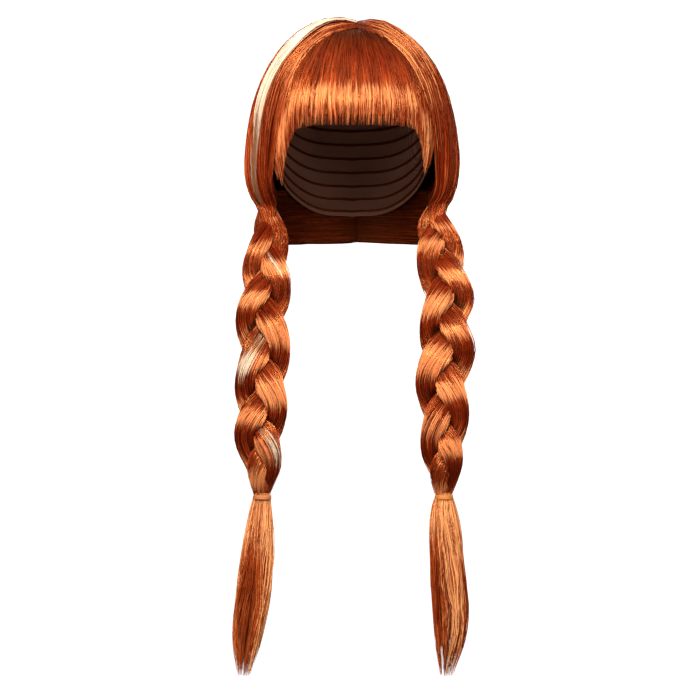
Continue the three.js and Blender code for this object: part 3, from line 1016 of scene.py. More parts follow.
def rooted(reach: Array) -> Array:
    """How much of the parting's root a place has: 1 at the parting and 0 past the roots."""
    return 1 - ease(reach, 0, 0.12)


def parting_edge(side: Side) -> float:
    """Where a side's hair starts beside the parting line, a little past it so that both meet."""
    return LAYERS.parting_shift - side.value * LAYERS.parting_gap / 2


# Paths of the side hair by share from the fringe (0) to the nape (1): the root's angle along the
# parting in degrees, then two pulls as shares of the block's half sizes (out, back, up).
SIDE_PATHS: dict[Side, Rows] = {
    Side.RIGHT: (
        (0, -20, 1, -0.8, 1.1, 0.8, -0.85, -0.4),
        (0.25, 14, 1.1, 0.09, 1.05, 1.5, -0.2, -0.33),
        (0.5, 50, 1.08, 0.8, 0.55, 1.48, 0.16, -0.37),
        (0.75, 90, 0.96, 1.06, 0, 1.36, 0.56, -0.4),
        (1, 118, 0.6, 1, -0.45, 1, 0.58, -0.5),
    ),
    Side.LEFT: (
        (0, -20, 1.04, -0.74, 1.1, 1.08, -0.62, -0.4),
        (0.25, 14, 1.1, 0.09, 1.05, 1.5, -0.12, -0.33),
        (0.5, 50, 1.08, 0.8, 0.55, 1.48, 0.16, -0.37),
        (0.75, 90, 0.96, 1.06, 0, 1.36, 0.56, -0.4),
        (1, 118, 0.6, 1, -0.45, 1, 0.58, -0.5),
    ),
}


@dataclass
class SideHair(Hair):
    """Hair swept from the centre parting down the side into the braid."""

    side: Side = Side.RIGHT
    sheet_depth: float = 0.006
    side_looseness: float = 0.008
    back_looseness: float = 0.003
    parting_depth: float = 0.003
    edge_share: float = 0.13
    fringe_cover: float = 0.0035
    gather_at: float = 0.92
    tuck: float = 0.04
    draw_in: float = 0.65
    turn_in: float = 0.003
    glint: float = 0.38
    glint_crown: float = 0.1
    glint_front: float = 0.24

    def gleam(self, across: Array, along: Array) -> Array:
        """Painted highlight where the hair falls away from the parting, less behind.

        Args:
            across: The share across the hair.
            along: The share from its roots to its tips.

        Returns:
            How strong the painted highlight is.
        """
        crown = ease(along, 0.02, 0.1) * (1 - ease(along, 0.28, 0.5))
        front = 1 - ease(across, 0.12, 0.35)
        return self.glint_front * crown * front + self.glint + self.glint_crown * crown

    def middle(self, share: Array, reach: Array) -> Array:
        """The middle layer: share from the fringe to the nape, reach from parting to gather.

        Args:
            share: The share from the fringe to the nape.
            reach: The share from the parting to the gather.

        Returns:
            The point at each place.
        """
        paths = SIDE_PATHS[self.side]
        sign = self.side.value
        loose = ease(share, 0, 0.4)
        out = LAYERS.cap_wall + 2 * LAYERS.gap + LAYERS.fringe_root + self.sheet_depth / 2
        shell = BLOCK.grown(out, self.side_looseness * loose, self.back_looseness * loose)

        def pull(column: int) -> Array:
            """One of the two points that draw a path out.

            Args:
                column: The first of its three columns in the paths.

            Returns:
                The point at each place.
            """
            away, back, up = (read(paths, column + k, share) for k in range(3))
            deep = np.where(back < 0, BLOCK.front, BLOCK.back)
            return points(sign * away * BLOCK.half_width, back * deep, up * BLOCK.crown_rise) + BLOCK_CENTRE

        angle = np.radians(read(paths, 1, share))
        root = shell.on(np.where(angle < 0, 0.0, math.pi), np.abs(angle))
        root[..., 0] = parting_edge(self.side)
        turn = math.pi * share
        end = points(
            sign * (GATHER.out + GATHER.radius * (np.sin(turn) - 0.5)),
            GATHER.back - GATHER.radius * np.cos(turn),
            -GATHER.drop,
        )
        curve = bezier([root, pull(2), pull(5), end], reach)
        freed = rooted(reach) + ease(reach, 0.75, 1)
        return mix(shell.pushed_out(curve), curve, freed[..., None])

    def half_depth(self, share: Array, reach: Array) -> Array:
        """Half the depth: thin at the parting, rounded at both edges, full at the gather.

        Args:
            share: The share from the fringe to the nape.
            reach: The share from the parting to the gather.

        Returns:
            Half the depth at each place.
        """
        swell = mix(self.sheet_depth, self.parting_depth, rooted(reach))
        full = mix(swell, GATHER.depth, ease(reach, 0.7, 1))
        return full * (0.35 + 0.65 * np.sqrt(np.maximum(0, 1 - (2 * share - 1) ** 8))) / 2

    def face(self, share: Array, reach: Array, away: Array) -> Array:
        """A point some distance out from the middle layer.

        Args:
            share: The share from the fringe to the nape.
            reach: The share from the parting to the gather.
            away: The distance out.

        Returns:
            The point at each place.
        """
        normal = away_from(self.middle, share, reach, self.side)
        p = self.middle(share, reach) + normal * away[..., None]
        edge = parting_edge(self.side)
        beyond = (p[..., 0] - edge) * self.side.value < 0
        p[..., 0] = np.where(beyond | (reach <= 0), edge, p[..., 0])
        return p

    def skin_depth(self, share: Array, reach: Array) -> Array:
        """How far out the skin lies: down at the parting."""
        return self.half_depth(share, reach) * (1 - 1.4 * (1 - ease(reach, 0, 0.035)))

    def laid(self, share: Array, along: Array, outer: bool) -> Array:
        """A point of a face, which runs on past the gather into the top of the braid.

        Args:
            share: The share from the fringe to the nape.
            along: The share from its roots to its tips.
            outer: Whether it is the outer face.

        Returns:
            The point at each place.
        """
        reach = np.minimum(along / self.gather_at, 1)
        half = self.half_depth(share, reach)
        p = self.face(share, reach, self.skin_depth(share, reach) if outer else -half)
        p = self.hugged(p, share, reach)
        past = np.maximum(along - self.gather_at, 0)[..., None] / (1 - self.gather_at)
        braid = Plait(self.side)
        top = braid.at(np.zeros(1))["middle"]
        below = braid.at(past[..., 0] * self.tuck / braid.length)["middle"]
        corner = 1 - ease(share, 0, 0.3) + ease(share, 0.7, 1)
        p[..., 0] -= self.side.value * self.turn_in * ease(reach, 0.82, 1) * corner
        flat = np.array([1.0, 1.0, 0.0])
        return p + (top - p) * flat * self.draw_in * ease(past, 0, 1) + (below - top) * (past > 0)

    def hugged(self, p: Array, share: Array, reach: Array) -> Array:
        """A point drawn in at the front edge, so that the edge lies on the fringe.

        Args:
            p: The point.
            share: The share from the fringe to the nape.
            reach: The share from the parting to the gather.

        Returns:
            The point, drawn in.
        """
        cover = BLOCK.grown(LAYERS.cap_wall + LAYERS.gap + self.fringe_cover)
        offset = p - BLOCK_CENTRE
        over = np.maximum(cover.share_of(offset), 1)
        hug = (1 - ease(share, 0, self.edge_share)) * (1 - ease(reach, 0.72, 0.92))
        return BLOCK_CENTRE + offset * (1 + hug * (1 / over - 1))[..., None]

    def outer(self, across: Array, along: Array) -> Array:
        """The outer face."""
        return self.laid(across, along, True)

    def inner(self, across: Array, along: Array) -> Array:
        """The inner face."""
        return self.laid(across, along, False)


@dataclass
class Streak(SideHair):
    """The pale lock that lies on the right side hair."""

    share_from: float = 0.06
    share_to: float = 0.145
    reach_from: float = 0.0
    reach_to: float = 0.99
    proud: float = 0.0009
    thickness: float = 0.0012
    narrowing: float = 0.3
    drift: Sequence[float] = (0.045, 0.05)

    def spot(self, across: Array, along: Array) -> tuple[Array, Array]:
        """The side hair's share and reach under a place of the streak, which moves out as it falls.

        Args:
            across: The share across the streak.
            along: The share from its roots to its tips.

        Returns:
            The share and the reach.
        """
        width = (self.share_to - self.share_from) * (1 - self.narrowing * ease(along, 0.4, 0.9))
        outward = self.drift[0] * ease(along, 0.2, 0.6) + self.drift[1] * ease(along, 0.6, 0.9)
        return self.share_from + outward + width * across, mix(self.reach_from, self.reach_to, along)

    def gleam(self, across: Array, along: Array) -> Array:
        """Painted highlight, white over the crown, and painted shade below."""
        white = mix(0.5, 0.9, ease(along, 0.05, 0.25)) * (1 - ease(along, 0.54, 0.7))
        return white + 0.2 * np.sin(9 * across)

    def pale(self, across: Array, along: Array) -> Array:
        """Pale all over, with copper fibres among the pale ones at both edges."""
        return np.clip(0.3 + 3 * (1 - abs(2 * across - 1)), 0, 1)

    def outer(self, across: Array, along: Array) -> Array:
        """The outer face.

        Args:
            across: The share across the hair.
            along: The share from its roots to its tips.

        Returns:
            The point at each place.
        """
        share, reach = self.spot(across, along)
        crown = self.proud * np.sin(math.pi * np.clip(across, 0, 1)) ** 0.5
        return self.face(share, reach, self.skin_depth(share, reach) + crown)

    def inner(self, across: Array, along: Array) -> Array:
        """The inner face."""
        share, reach = self.spot(across, along)
        return self.face(share, reach, self.skin_depth(share, reach) - self.thickness)


@dataclass
class NapeHair(Hair):
    """The lowest rows at the nape, swept forward under the side hair to the braid."""

    side: Side = Side.RIGHT
    sheet_depth: float = 0.006
    hang: float = 0.6
    top_drop: float = 0.142
    bottom_drop: float = 0.192
    end_top_drop: float = 0.146
    end_bottom_drop: float = 0.197
    end_out: float = 0.073
    end_back: float = 0.017
    end_forward: float = 0.030
    bend: float = 0.068

    def half_depth(self, down: Array) -> Array:
        """Half the depth, rounded at the top and lower edges."""
        return self.sheet_depth * (0.35 + 0.65 * np.sqrt(np.maximum(0, 1 - (2 * down - 1) ** 6))) / 2

    def middle(self, down: Array, reach: Array) -> Array:
        """The middle layer: down from the top row, reach from the midline to the braid.

        Args:
            down: The share down from the top row.
            reach: The share from the midline to the braid.

        Returns:
            The point at each place.
        """
        sign = self.side.value
        shell = BLOCK.grown(LAYERS.cap_wall + LAYERS.seat_gap + self.half_depth(down))
        start_drop = mix(self.top_drop, self.bottom_drop, down)
        below = np.minimum((start_drop - BLOCK.crown_rise) / shell.crown_rise, self.hang)
        start_back = shell.back * (1 - below**BLOCK.roundness) ** (1 / BLOCK.roundness)
        end_drop = mix(self.end_top_drop, self.end_bottom_drop, down)
        return bezier([
            points(parting_edge(self.side), start_back, -start_drop),
            points(sign * self.bend, start_back, -(start_drop + end_drop) / 2),
            points(sign * self.end_out, self.end_back - self.end_forward * down, -end_drop),
        ], reach)

    def face(self, down: Array, reach: Array, sign: float) -> Array:
        """The outer or inner face."""
        normal = away_from(self.middle, down, reach, self.side)
        return self.middle(down, reach) + normal * (sign * self.half_depth(down))[..., None]

    def outer(self, across: Array, along: Array) -> Array:
        """The outer face."""
        return self.face(across, along, 1)

    def inner(self, across: Array, along: Array) -> Array:
        """The inner face."""
        return self.face(across, along, -1)


# Each braid from the gather (0) to the tie (1): sway and half width as shares of the braid's half
# width, forward lean as a share of its whole lean, and crossings in thirds of a strand's round.
BRAID_ROWS: dict[Side, Rows] = {
    Side.RIGHT: (
        (0, 0, 0.24, 0, -1.05), (0.09, -0.02, 0.66, 0.2, -0.58), (0.206, 0.03, 0.87, 0.44, 0),
        (0.39, 0.18, 1, 0.74, 1), (0.54, 0.17, 0.98, 0.88, 1.68), (0.66, 0.23, 1.01, 0.95, 2.24),
        (0.81, 0.28, 0.9, 1, 3.03), (0.9, 0.23, 0.71, 1, 3.46), (0.955, 0.2, 0.47, 1, 3.72),
        (1, 0.2, 0.29, 1, 3.9),
    ),
    Side.LEFT: (
        (0, 0, 0.24, 0, -0.8), (0.07, 0, 0.66, 0.15, -0.35), (0.14, 0.1, 0.87, 0.31, 0.06),
        (0.32, 0.42, 0.97, 0.65, 1.03), (0.42, 0.36, 0.96, 0.78, 1.56), (0.505, 0.34, 1.08, 0.86, 2),
        (0.63, 0.23, 1, 0.94, 2.56), (0.765, 0.29, 0.89, 0.99, 3.2), (0.868, 0.25, 0.78, 1, 3.75),
        (0.937, 0.26, 0.56, 1, 4.1), (1, 0.28, 0.29, 1, 4.35),
    ),
}


@dataclass(frozen=True)
class Plait:
    """The sizes of a three-strand braid."""

    side: Side
    length: float = 0.269
    half_width: float = 0.024
    flatness: float = 0.6
    lean: float = 0.068
    swing: float = 0.47
    twist: float = 1.0
    strands: int = 3

    def at(self, share: Array) -> dict[str, Array]:
        """The braid's middle, half width and crossings at a share of its length.

        Args:
            share: The share of the braid's length.

        Returns:
            Each of them by its name.
        """
        rows = BRAID_ROWS[self.side]
        sway, wide, lean, thirds = (read(rows, k, share) for k in range(1, 5))
        return {
            "middle": points(
                self.side.value * (GATHER.out + sway * self.half_width),
                GATHER.back - lean * self.lean,
                -GATHER.drop - share * self.length,
            ),
            "half": wide * self.half_width,
            "thirds": thirds,
        }

    def path(self, strand: int, share: Array) -> Array:
        """A strand's middle in the braid, before the braid is flattened (x, y).

        Args:
            strand: Which strand it is, from 0.
            share: The share of the braid's length.

        Returns:
            X and Y from the braid's middle.
        """
        here = self.at(share)
        reach = self.swing * here["half"]
        round_ = 2 * math.pi * (here["thirds"] - strand) / self.strands
        return np.stack([self.side.value * reach * np.cos(round_), reach * np.sin(2 * round_)], axis=-1)


# Where pale fibres show in a strand of the right braid: their middle and half width round the
# strand, then from and to along it.
PALE_FIBRES: dict[tuple[Side, int], Rows] = {
    (Side.RIGHT, 2): ((0.705, 0.045, 0.08, 0.3), (0.79, 0.115, 0.44, 0.65), (0.725, 0.085, 0.72, 0.93)),
}


@dataclass
class BraidStrand(Hair):
    """One of the three strands of a braid."""

    plait: Plait = Plait(Side.RIGHT)
    strand: int = 0
    around: bool = True
    rows: int = 109
    columns: int = 29
    play: float = 1.04
    pressing: float = 9.0
    crease_from: float = 0.55
    crease_to: float = 1.08
    top_shade: float = 0.76
    glint_turn: float = 0.65
    glint_top: float = 0.9
    glint_mean: float = 1.08
    glint_swing: float = 0.26

    def open(self, across: Array, along: Array) -> Array:
        """How far the strand's skin lies from the creases where the strands meet.

        Args:
            across: The share across the hair.
            along: The share from its roots to its tips.

        Returns:
            1 outside and 0 in a crease.
        """
        free = (1 - self.plait.swing) * self.plait.at(along)["half"]
        flat = (self.outer(across, along) - self.inner(across, along))[..., :2]
        reach = np.hypot(flat[..., 0], flat[..., 1] / self.plait.flatness)
        # Painted shade: the finish darkens the strand by this in the creases, and by top_shade at the
        # braid's top under the side hair
        crease = ease(reach / free, self.crease_from, self.crease_to)
        return crease * mix(self.top_shade, 1, ease(along, 0.06, 0.2))

    def gleam(self, across: Array, along: Array) -> Array:
        """Painted highlight where the strand bows out, twice in each round.

        Args:
            across: The share across the hair.
            along: The share from its roots to its tips.

        Returns:
            How strong the painted highlight is.
        """
        round_ = 2 * math.pi * (self.plait.at(along)["thirds"] - self.strand) / self.plait.strands
        uneven = self.glint_mean + self.glint_swing * np.sin(2.3 * round_ + 2 * self.strand)
        band = np.sin(2 * round_ - self.glint_turn + 0.5 * np.sin(1.3 * round_)) ** 2
        return band * mix(self.glint_top, uneven, ease(along, 0.1, 0.25)) + 0 * across

    def pale(self, across: Array, along: Array) -> Array:
        """Pale on the fibres that the streak ends in.

        Args:
            across: The share across the hair.
            along: The share from its roots to its tips.

        Returns:
            1 on a pale fibre and 0 elsewhere.
        """
        total = np.zeros(np.shape(across))
        for middle, half, start, end in PALE_FIBRES.get((self.plait.side, self.strand), ()):
            shown = ease(along, start, start + 0.05) * (1 - ease(along, end - 0.08, end))
            total += shown * np.clip(2 - 2 * abs(across - middle) / half, 0, 1)
        return total

    def outer(self, across: Array, along: Array) -> Array:
        """The strand's skin: a round bundle, pressed flat where it meets the other two.

        Args:
            across: The share across the hair.
            along: The share from its roots to its tips.

        Returns:
            The point at each place.
        """
        here = self.plait.at(along)
        own = self.plait.path(self.strand, along)
        swung = own[..., 0] / (self.plait.swing * here["half"])
        turn = 2 * math.pi * across + self.plait.twist * swung
        way = np.stack([np.cos(turn), np.sin(turn)], axis=-1)
        limits = [(1 - self.plait.swing) * here["half"] * self.play]
        for other in range(self.plait.strands):
            if other != self.strand:
                there = self.plait.path(other, along)
                normal = unit(there - own)
                half_way = ((there - own) / 2 * normal).sum(axis=-1)
                toward = (way * normal).sum(axis=-1)
                limits.append(half_way / np.maximum(toward, 0.02))
        pressed = [np.maximum(limit, 1e-5) ** -self.pressing for limit in limits]
        reach = np.sum(pressed, axis=0) ** (-1 / self.pressing)
        flat = (own + way * reach[..., None]) * np.array([1, self.plait.flatness])
        return here["middle"] + points(flat[..., 0], flat[..., 1], 0.0)

    def inner(self, across: Array, along: Array) -> Array:
        """The strand's core."""
        own = self.plait.path(self.strand, along) * np.array([1, self.plait.flatness])
        return self.plait.at(along)["middle"] + points(own[..., 0], own[..., 1], 0.0)


# Each tail from the tie (0) to its tip (1): sway and half width as shares of its half width.
TAIL_ROWS: dict[Side, Rows] = {
    Side.RIGHT: (
        (0, 0, 0.42), (0.08, 0.08, 0.58), (0.2, 0.16, 0.78), (0.36, 0.3, 0.97),
        (0.5, 0.44, 1.03), (0.65, 0.66, 1.02), (0.8, 0.9, 0.88), (1, 1.15, 0.36),
    ),
    Side.LEFT: (
        (0, 0, 0.42), (0.08, 0, 0.72), (0.2, 0.08, 0.94), (0.36, 0.18, 1),
        (0.5, 0.3, 1.06), (0.65, 0.42, 1.08), (0.8, 0.38, 0.92), (1, 0.14, 0.36),
    ),
}


@dataclass
class Tail(Hair):
    """The loose end of a braid below its tie."""

    plait: Plait = Plait(Side.RIGHT)
    around: bool = True
    length: float = 0.163
    half_width: float = 0.015
    flatness: float = 0.75
    above: float = 0.004
    rows: int = 61
    columns: int = 33
    glint: float = 0.82
    lower_lock_dip: float = 0.72
    middle_bulk: float = 0.86

    def gleam(self, across: Array, along: Array) -> Array:
        """Painted highlight, weaker and darker on some locks in the lower half.

        Args:
            across: The share across the hair.
            along: The share from its roots to its tips.

        Returns:
            How strong the painted highlight is.
        """
        dark = ease(along, 0.16, 0.5) * (1 - 0.4 * ease(along, 0.82, 0.95))
        locks = 0.5 + 0.5 * np.sin(4 * math.pi * across + self.plait.side.value)
        return self.glint - self.lower_lock_dip * dark * locks

    def inner(self, across: Array, along: Array) -> Array:
        """The tail's core.

        Args:
            across: The share across the hair.
            along: The share from its roots to its tips.

        Returns:
            The point at each place.
        """
        tie = tie_place(self.plait)
        sway = read(TAIL_ROWS[self.plait.side], 1, along) * self.half_width
        return points(
            tie.x + self.plait.side.value * sway + 0 * across,
            tie.y,
            tie.z + self.above - along * (self.length + self.above),
        )

    def outer(self, across: Array, along: Array) -> Array:
        """The tail's skin.

        Args:
            across: The share across the hair.
            along: The share from its roots to its tips.

        Returns:
            The point at each place.
        """
        half = read(TAIL_ROWS[self.plait.side], 2, along) * self.half_width
        turn = 2 * math.pi * across
        out = points(np.cos(turn) * half, np.sin(turn) * half * self.flatness, 0.0)
        return self.inner(across, along) + out

    def under(self) -> bpy.types.Object:
        """The tail's dense middle, tapered to a point above the tips.

        Returns:
            The object, with the numbers that its finish reads.
        """
        made = super().under()
        co = np.empty(len(made.data.vertices) * 3, np.float32)
        made.data.vertices.foreach_get("co", co)
        co = co.reshape(-1, 3)
        along = np.empty(len(co), np.float32)
        made.data.attributes["along"].data.foreach_get("value", along)
        core = self.inner(np.zeros(len(co)), along)
        share = np.maximum(self.middle_bulk * (1 - ease(along, 0.45, 0.86)), 0.01)[:, None]
        made.data.vertices.foreach_set("co", mix(core, co, share).astype(np.float32).ravel())
        return made


def tie_place(plait: Plait) -> Vector:
    """The middle of a braid's lower end, where its tie sits."""
    x, y, z = plait.at(np.array(1.0))["middle"]
    return Vector((x, y, z))


# --------------------------------------------------------------------------- cap and ties


# Edge of the cap by azimuth from the brow (0) to the nape (180), as an angle down from the crown,
# all in degrees.
CAP_EDGE: Rows = (
    (0, 60), (40, 72), (65, 101), (85, 92), (105, 97), (125, 116), (150, 128), (180, 131),
)


@dataclass(frozen=True)
class NetFinish:
    """Stretch net: fine dark threads crossing at a slant, over a brown ground."""

    name: str = "stretch_net"
    slot: str = "cap_mesh"
    ground: Rgb = (150, 96, 68)
    thread: Rgb = (84, 48, 32)
    pitch: float = 0.0016
    slant: float = 0.6
    wear_grain: float = 45.0
    bump_strength: float = 0.5
    bump_depth: float = 0.0004

    def make(self) -> bpy.types.Material:
        """Builds the material.

        Returns:
            The material.
        """
        material, plan, shader = blank(self.name)
        x, y, z = plan.place()
        turns = 2 * math.pi / self.pitch
        rising = plan.math("SINE", (x + y * self.slant + z) * turns)
        falling = plan.math("SINE", (x + y * self.slant - z) * turns)
        net = plan.ramp(rising * falling, -0.3, 0.4)
        wear = plan.noise(x, y, z, self.wear_grain, 3.0)
        tones = (net * 0.7 + wear * 0.3, tone(*self.thread), tone(*self.ground))
        plan.wire(shader, "Base Color", plan.add("ShaderNodeMix", tones, data_type="RGBA"))
        plan.wire(shader, "Roughness", plan.ramp(wear, 0.2, 0.8, 0.7, 0.9))
        bump = plan.add("ShaderNodeBump", (self.bump_strength, self.bump_depth, None, net))
        plan.wire(shader, "Normal", bump)
        return material


@dataclass(frozen=True)
class BandFinish:
    """Elastic band: fine ribs wound round, in a warm tan."""

    name: str
    slot: str = "hair_tie"
    light: Rgb = (226, 140, 52)
    dark: Rgb = (150, 78, 22)
    ribs: float = 5200.0
    fuzz_grain: float = 900.0
    bump_strength: float = 0.6
    bump_depth: float = 0.0002

    def make(self) -> bpy.types.Material:
        """Builds the material.

        Returns:
            The material.
        """
        material, plan, shader = blank(self.name)
        x, y, z = plan.place()
        rib = plan.math("SINE", (x * 0.8 + z * 2.2 + y * 0.5) * self.ribs) * 0.5 + 0.5
        fuzz = plan.noise(x, y, z, self.fuzz_grain, 2.0)
        tones = (rib * 0.6 + fuzz * 0.4, tone(*self.dark), tone(*self.light))
        plan.wire(shader, "Base Color", plan.add("ShaderNodeMix", tones, data_type="RGBA"))
        plan.wire(shader, "Roughness", plan.ramp(fuzz, 0.2, 0.8, 0.5, 0.7))
        bump = plan.add("ShaderNodeBump", (self.bump_strength, self.bump_depth, None, rib))
        plan.wire(shader, "Normal", bump)
        return material


def weft_tree() -> bpy.types.NodeTree:
    """The tree that sweeps a flat band along each edge line of a mesh of rows.

    Returns:
        The tree.
    """
    tree = bpy.data.node_groups.new("cap_wefts", "GeometryNodeTree")
    plan = Plan(tree)
    g = plan.given(Rows="Geometry", Width="Float", Flatness="Float", Finish="Material")
    line = plan.add("GeometryNodeMeshToCurve", (g["Rows"],))
    ring = plan.add("GeometryNodeCurvePrimitiveCircle", (8, 1.0))
    size = plan.add("ShaderNodeCombineXYZ", (g["Width"], g["Width"] * g["Flatness"], 1.0))
    ring = plan.add("GeometryNodeTransform", (ring, None, None, size))
    plan.close(plan.add("GeometryNodeCurveToMesh", (line, ring, 1.0, True)), g["Finish"], "Wefts")
    return tree


@dataclass
class Cap:
    """The stretch cap that the hair is sewn to, with rows of weft inside it."""

    node: str = "wig_cap"
    finish: NetFinish = NetFinish()
    columns: int = 96
    rows: int = 30
    wefts: int = 13
    weft_width: float = 0.0013
    weft_flatness: float = 0.6
    weft_lift: float = 0.0004
    weft_points: int = 90
    weft_azimuths: Sequence[float] = (38, 322)
    weft_shares: Sequence[float] = (0.3, 0.98)
    inner_lift: float = 0.0008
    crown_hole: float = 0.01

    def shell(self, out: float, azimuth: Array, share: Array) -> Array:
        """A point of the cap: azimuth in degrees from the brow, share from the crown to the edge."""
        edge = read(CAP_EDGE, 1, np.where(azimuth > 180, 360 - azimuth, azimuth))
        return BLOCK.grown(out).on(np.radians(azimuth), np.radians(edge * share))

    def dome(self) -> bpy.types.Object:
        """The cap's wall, closed at its edge.

        Returns:
            The object.
        """
        azimuth, share = np.meshgrid(
            np.arange(self.columns) * 360 / self.columns, np.linspace(self.crown_hole, 1, self.rows)
        )
        outer = self.shell(LAYERS.cap_wall, azimuth, share)
        inner = self.shell(self.inner_lift, azimuth, share)[::-1]
        verts = np.concatenate([outer, inner]).reshape(-1, 3)
        count = 2 * self.rows
        faces = grid_faces(count, self.columns, True)
        faces.append(tuple(reversed(range(self.columns))))
        faces.append(tuple((count - 1) * self.columns + c for c in range(self.columns)))
        made = mesh_object(self.node + "_net", verts, faces)
        turned_out(made)
        made.data.materials.append(self.finish.make())
        return made

    def rows_of_weft(self) -> bpy.types.Object:
        """The lines that the wefts are sewn along, as chains of edges.

        Returns:
            The object, with edges alone.
        """
        azimuth = np.linspace(*self.weft_azimuths, self.weft_points)
        lines = [
            self.shell(self.weft_lift, azimuth, np.full(self.weft_points, share))
            for share in np.linspace(*self.weft_shares, self.wefts)
        ]
        edges = [
            (row * self.weft_points + i, row * self.weft_points + i + 1)
            for row in range(self.wefts)
            for i in range(self.weft_points - 1)
        ]
        made = mesh_object(self.node + "_wefts", np.zeros((1, 3)), [])
        made.data.clear_geometry()
        made.data.from_pydata(np.concatenate(lines).tolist(), edges, [])
        return made

    def build(self, tree: bpy.types.NodeTree) -> None:
        """Makes the net and its wefts and sets them in the frame.

        Args:
            tree: The tree that makes the wefts.
        """
        place(self.dome(), self.finish.slot, self.node)
        wefts = grown(self.rows_of_weft(), tree, {
            "Width": self.weft_width, "Flatness": self.weft_flatness, "Finish": finish_of(SHADED_COPPER),
        })
        # Painted shade: the wefts are marked a little deep, and their finish darkens them slightly by that
        marks = {"across": 0.3, "along": 0.5, "strand": 0.4, "lock": 0.4, "depth": 0.7}
        for name, value in (marks | {"gleam": 0, "pale": 0}).items():
            number(wefts.data, name, np.full(len(wefts.data.vertices), value))
        place(wefts, SHADED_COPPER.slot, self.node)


def band_tree() -> bpy.types.NodeTree:
    """The tree that winds an elastic band round the neck of a tail.

    Returns:
        The tree.
    """
    tree = bpy.data.node_groups.new("tie_turns", "GeometryNodeTree")
    plan = Plan(tree)
    g = plan.given(
        Base="Geometry", Turns="Float", Radius="Float", Height="Float", Thickness="Float",
        Middle="Vector", Finish="Material",
    )
    size = (48, g["Turns"], g["Radius"], g["Radius"], g["Height"], False)
    wound = plan.add("GeometryNodeCurveSpiral", size)
    shift = plan.add("ShaderNodeCombineXYZ", (0.0, 0.0, g["Height"] * -0.5))
    wound = plan.add("GeometryNodeTransform", (wound, shift))
    wound = plan.add("GeometryNodeTransform", (wound, g["Middle"]))
    ring = plan.add("GeometryNodeCurvePrimitiveCircle", (10, g["Thickness"]))
    plan.close(plan.add("GeometryNodeCurveToMesh", (wound, ring, 1.0, True)), g["Finish"], "Tie")
    return tree


@dataclass
class Tie:
    """The elastic band that closes a braid."""

    plait: Plait
    finish: BandFinish
    neck_radius: float = 0.0064
    turns: float = 3.0
    height: float = 0.0028
    thickness: float = 0.00105

    def build(self, tree: bpy.types.NodeTree) -> None:
        """Winds the band and sets it in the frame.

        Args:
            tree: The tree that winds the band.
        """
        node = f"tie_{self.plait.side.label}"
        start = mesh_object(node + "_band", np.zeros((1, 3)), [])
        band = grown(start, tree, {
            "Turns": self.turns,
            "Radius": self.neck_radius + self.thickness,
            "Height": self.height,
            "Thickness": self.thickness,
            "Middle": tuple(tie_place(self.plait)),
            "Finish": self.finish.make(),
        })
        turned_out(band)
        place(band, self.finish.slot, node)


# --------------------------------------------------------------------------- studio


@dataclass(frozen=True)
class Lamp:
    """A square soft light that faces the wig."""

    name: str
    spot: Spot
    size: float
    power: float

    def hang(self, target: Spot) -> None:
        """Sets the light in the scene.

        Args:
            target: What it faces.
        """
        data = bpy.data.lights.new(self.name, "AREA")
        data.energy, data.size = self.power, self.size
        lamp = bpy.data.objects.new(self.name, data)
        lamp.location = self.spot
        way = Vector(target) - Vector(self.spot)
        lamp.rotation_euler = way.to_track_quat("-Z", "Y").to_euler()
        bpy.context.scene.collection.objects.link(lamp)


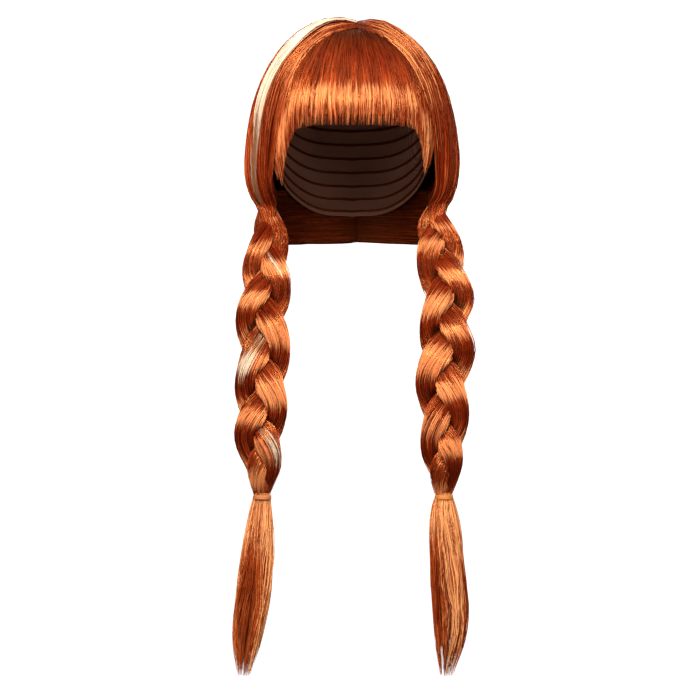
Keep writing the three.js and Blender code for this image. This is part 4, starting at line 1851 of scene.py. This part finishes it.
@dataclass
class Studio:
    """A pale floor and backdrop, soft lights and a long lens straight in front."""

    distance: float = 6.0
    frame_height: float = 0.644
    centre: Spot = (-0.0018, 0.0, -0.293)
    sensor: float = 36.0
    floor_drop: float = -0.78
    floor_reach: float = 7.0
    floor_middle: float = 0.01
    bend: float = 1.2
    wall_height: float = 5.0
    columns: int = 64
    paper: float = 0.9
    paper_glow: float = 0.8
    fill: float = 0.42
    lamps: Sequence[Lamp] = (
        Lamp("brow_light", (-0.15, -1.6, 0.85), 0.4, 62),
        Lamp("right_light", (-1.3, -1.7, -0.2), 0.5, 7),
        Lamp("left_light", (1.3, -1.7, -0.1), 0.5, 7),
        Lamp("crown_light", (0.7, -0.6, 1.1), 0.9, 6),
        Lamp("back_light", (0.4, 2.0, 0.4), 1.6, 26),
    )

    def build(self) -> None:
        """Makes the backdrop, the lights, the air and the camera."""
        self.backdrop()
        for lamp in self.lamps:
            lamp.hang(self.centre)
        bpy.context.scene.view_settings.view_transform = "Standard"
        self.air()
        self.camera()

    def air(self) -> None:
        """Fills the shadows evenly, without a reflection of its own."""
        world = bpy.data.worlds.new("studio_air")
        bpy.context.scene.world = world
        world.use_nodes = True
        world.cycles_visibility.glossy = False
        background = world.node_tree.nodes["Background"]
        background.inputs["Color"].default_value = (1, 1, 1, 1)
        background.inputs["Strength"].default_value = self.fill

    def backdrop(self) -> None:
        """A round floor that curves up into a wall on all sides."""
        turns = np.linspace(0, math.pi / 2, 13)
        wall = self.floor_reach + self.bend
        out = np.concatenate([[self.floor_middle], self.floor_reach + self.bend * np.sin(turns), [wall]])
        up = np.concatenate([[0.0], self.bend * (1 - np.cos(turns)), [self.wall_height]])
        around = np.arange(self.columns) * 2 * math.pi / self.columns
        ring = out[:, None]
        verts = points(ring * np.cos(around), ring * np.sin(around), (up + self.floor_drop)[:, None])
        faces = grid_faces(len(out), self.columns, True)
        faces.append(tuple(reversed(range(self.columns))))
        made = mesh_object("backdrop", verts, faces)
        material, _, shader = blank("backdrop_paper")
        shader.inputs["Base Color"].default_value = (self.paper,) * 3 + (1,)
        shader.inputs["Roughness"].default_value = 0.9
        shader.inputs["Emission Color"].default_value = (1, 1, 1, 1)
        shader.inputs["Emission Strength"].default_value = self.paper_glow
        made.data.materials.append(material)
        made.visible_glossy = made.visible_diffuse = False

    def camera(self) -> None:
        """A level camera in front, framed as the photograph."""
        data = bpy.data.cameras.new("camera")
        data.sensor_width = self.sensor
        data.lens = self.sensor * self.distance / self.frame_height
        made = bpy.data.objects.new("camera", data)
        x, y, z = self.centre
        made.location = (x, y - self.distance, z)
        made.rotation_euler = (math.pi / 2, 0, 0)
        bpy.context.scene.collection.objects.link(made)
        bpy.context.scene.camera = made


def main() -> None:
    """Builds the wig's classes in order."""
    logging.basicConfig(level=logging.INFO, format="%(message)s")
    tree, wefts, bands = strand_tree(), weft_tree(), band_tree()
    Cap().build(wefts)
    Fringe(
        "fringe", FRINGE, strands=1500, steps=13, seed=11, locks=34, tip=0.14, tip_spread=0.08,
        under_reach=0.93,
    ).build(tree)
    Streak(
        "pale_streak", PALE, strands=150, steps=22, seed=21, locks=5, ridge=0.0006, depth=0.4,
        tip_spread=0.2, under_reach=0.8, columns=9,
    ).build(tree)
    for side in Side:
        SideHair(
            f"side_hair_{side.label}", side=side, strands=1250, steps=19, seed=31 + side.value,
            tip_spread=0.09, under_reach=0.93,
        ).build(tree)
        NapeHair(
            f"nape_hair_{side.label}", SHADED_COPPER, side=side, strands=260, steps=12, seed=41 + side.value,
            locks=8, lined=True, rows=31, columns=21,
        ).build(tree)
        plait = Plait(side)
        for strand in range(plait.strands):
            BraidStrand(
                f"braid_{side.label}_strand_{strand + 1}", plait=plait, strand=strand, strands=220,
                steps=38, seed=51 + strand + side.value, locks=9, ridge=0.0004, depth=0.8,
            ).build(tree)
        tan = BandFinish(f"tie_{side.label}_elastic")
        Tie(plait, tan if side is Side.LEFT else replace(tan, light=(214, 128, 74))).build(bands)
        Tail(
            f"tail_{side.label}", ENDS, plait=plait, strands=560, steps=14, seed=61 + side.value,
            locks=11, ridge=0.0011, draw=0.36, wander=0.13, depth=0.2, tip=0.2, tip_spread=0.44,
        ).build(tree)
    Studio().build()


if __name__ == "__main__":
    main()
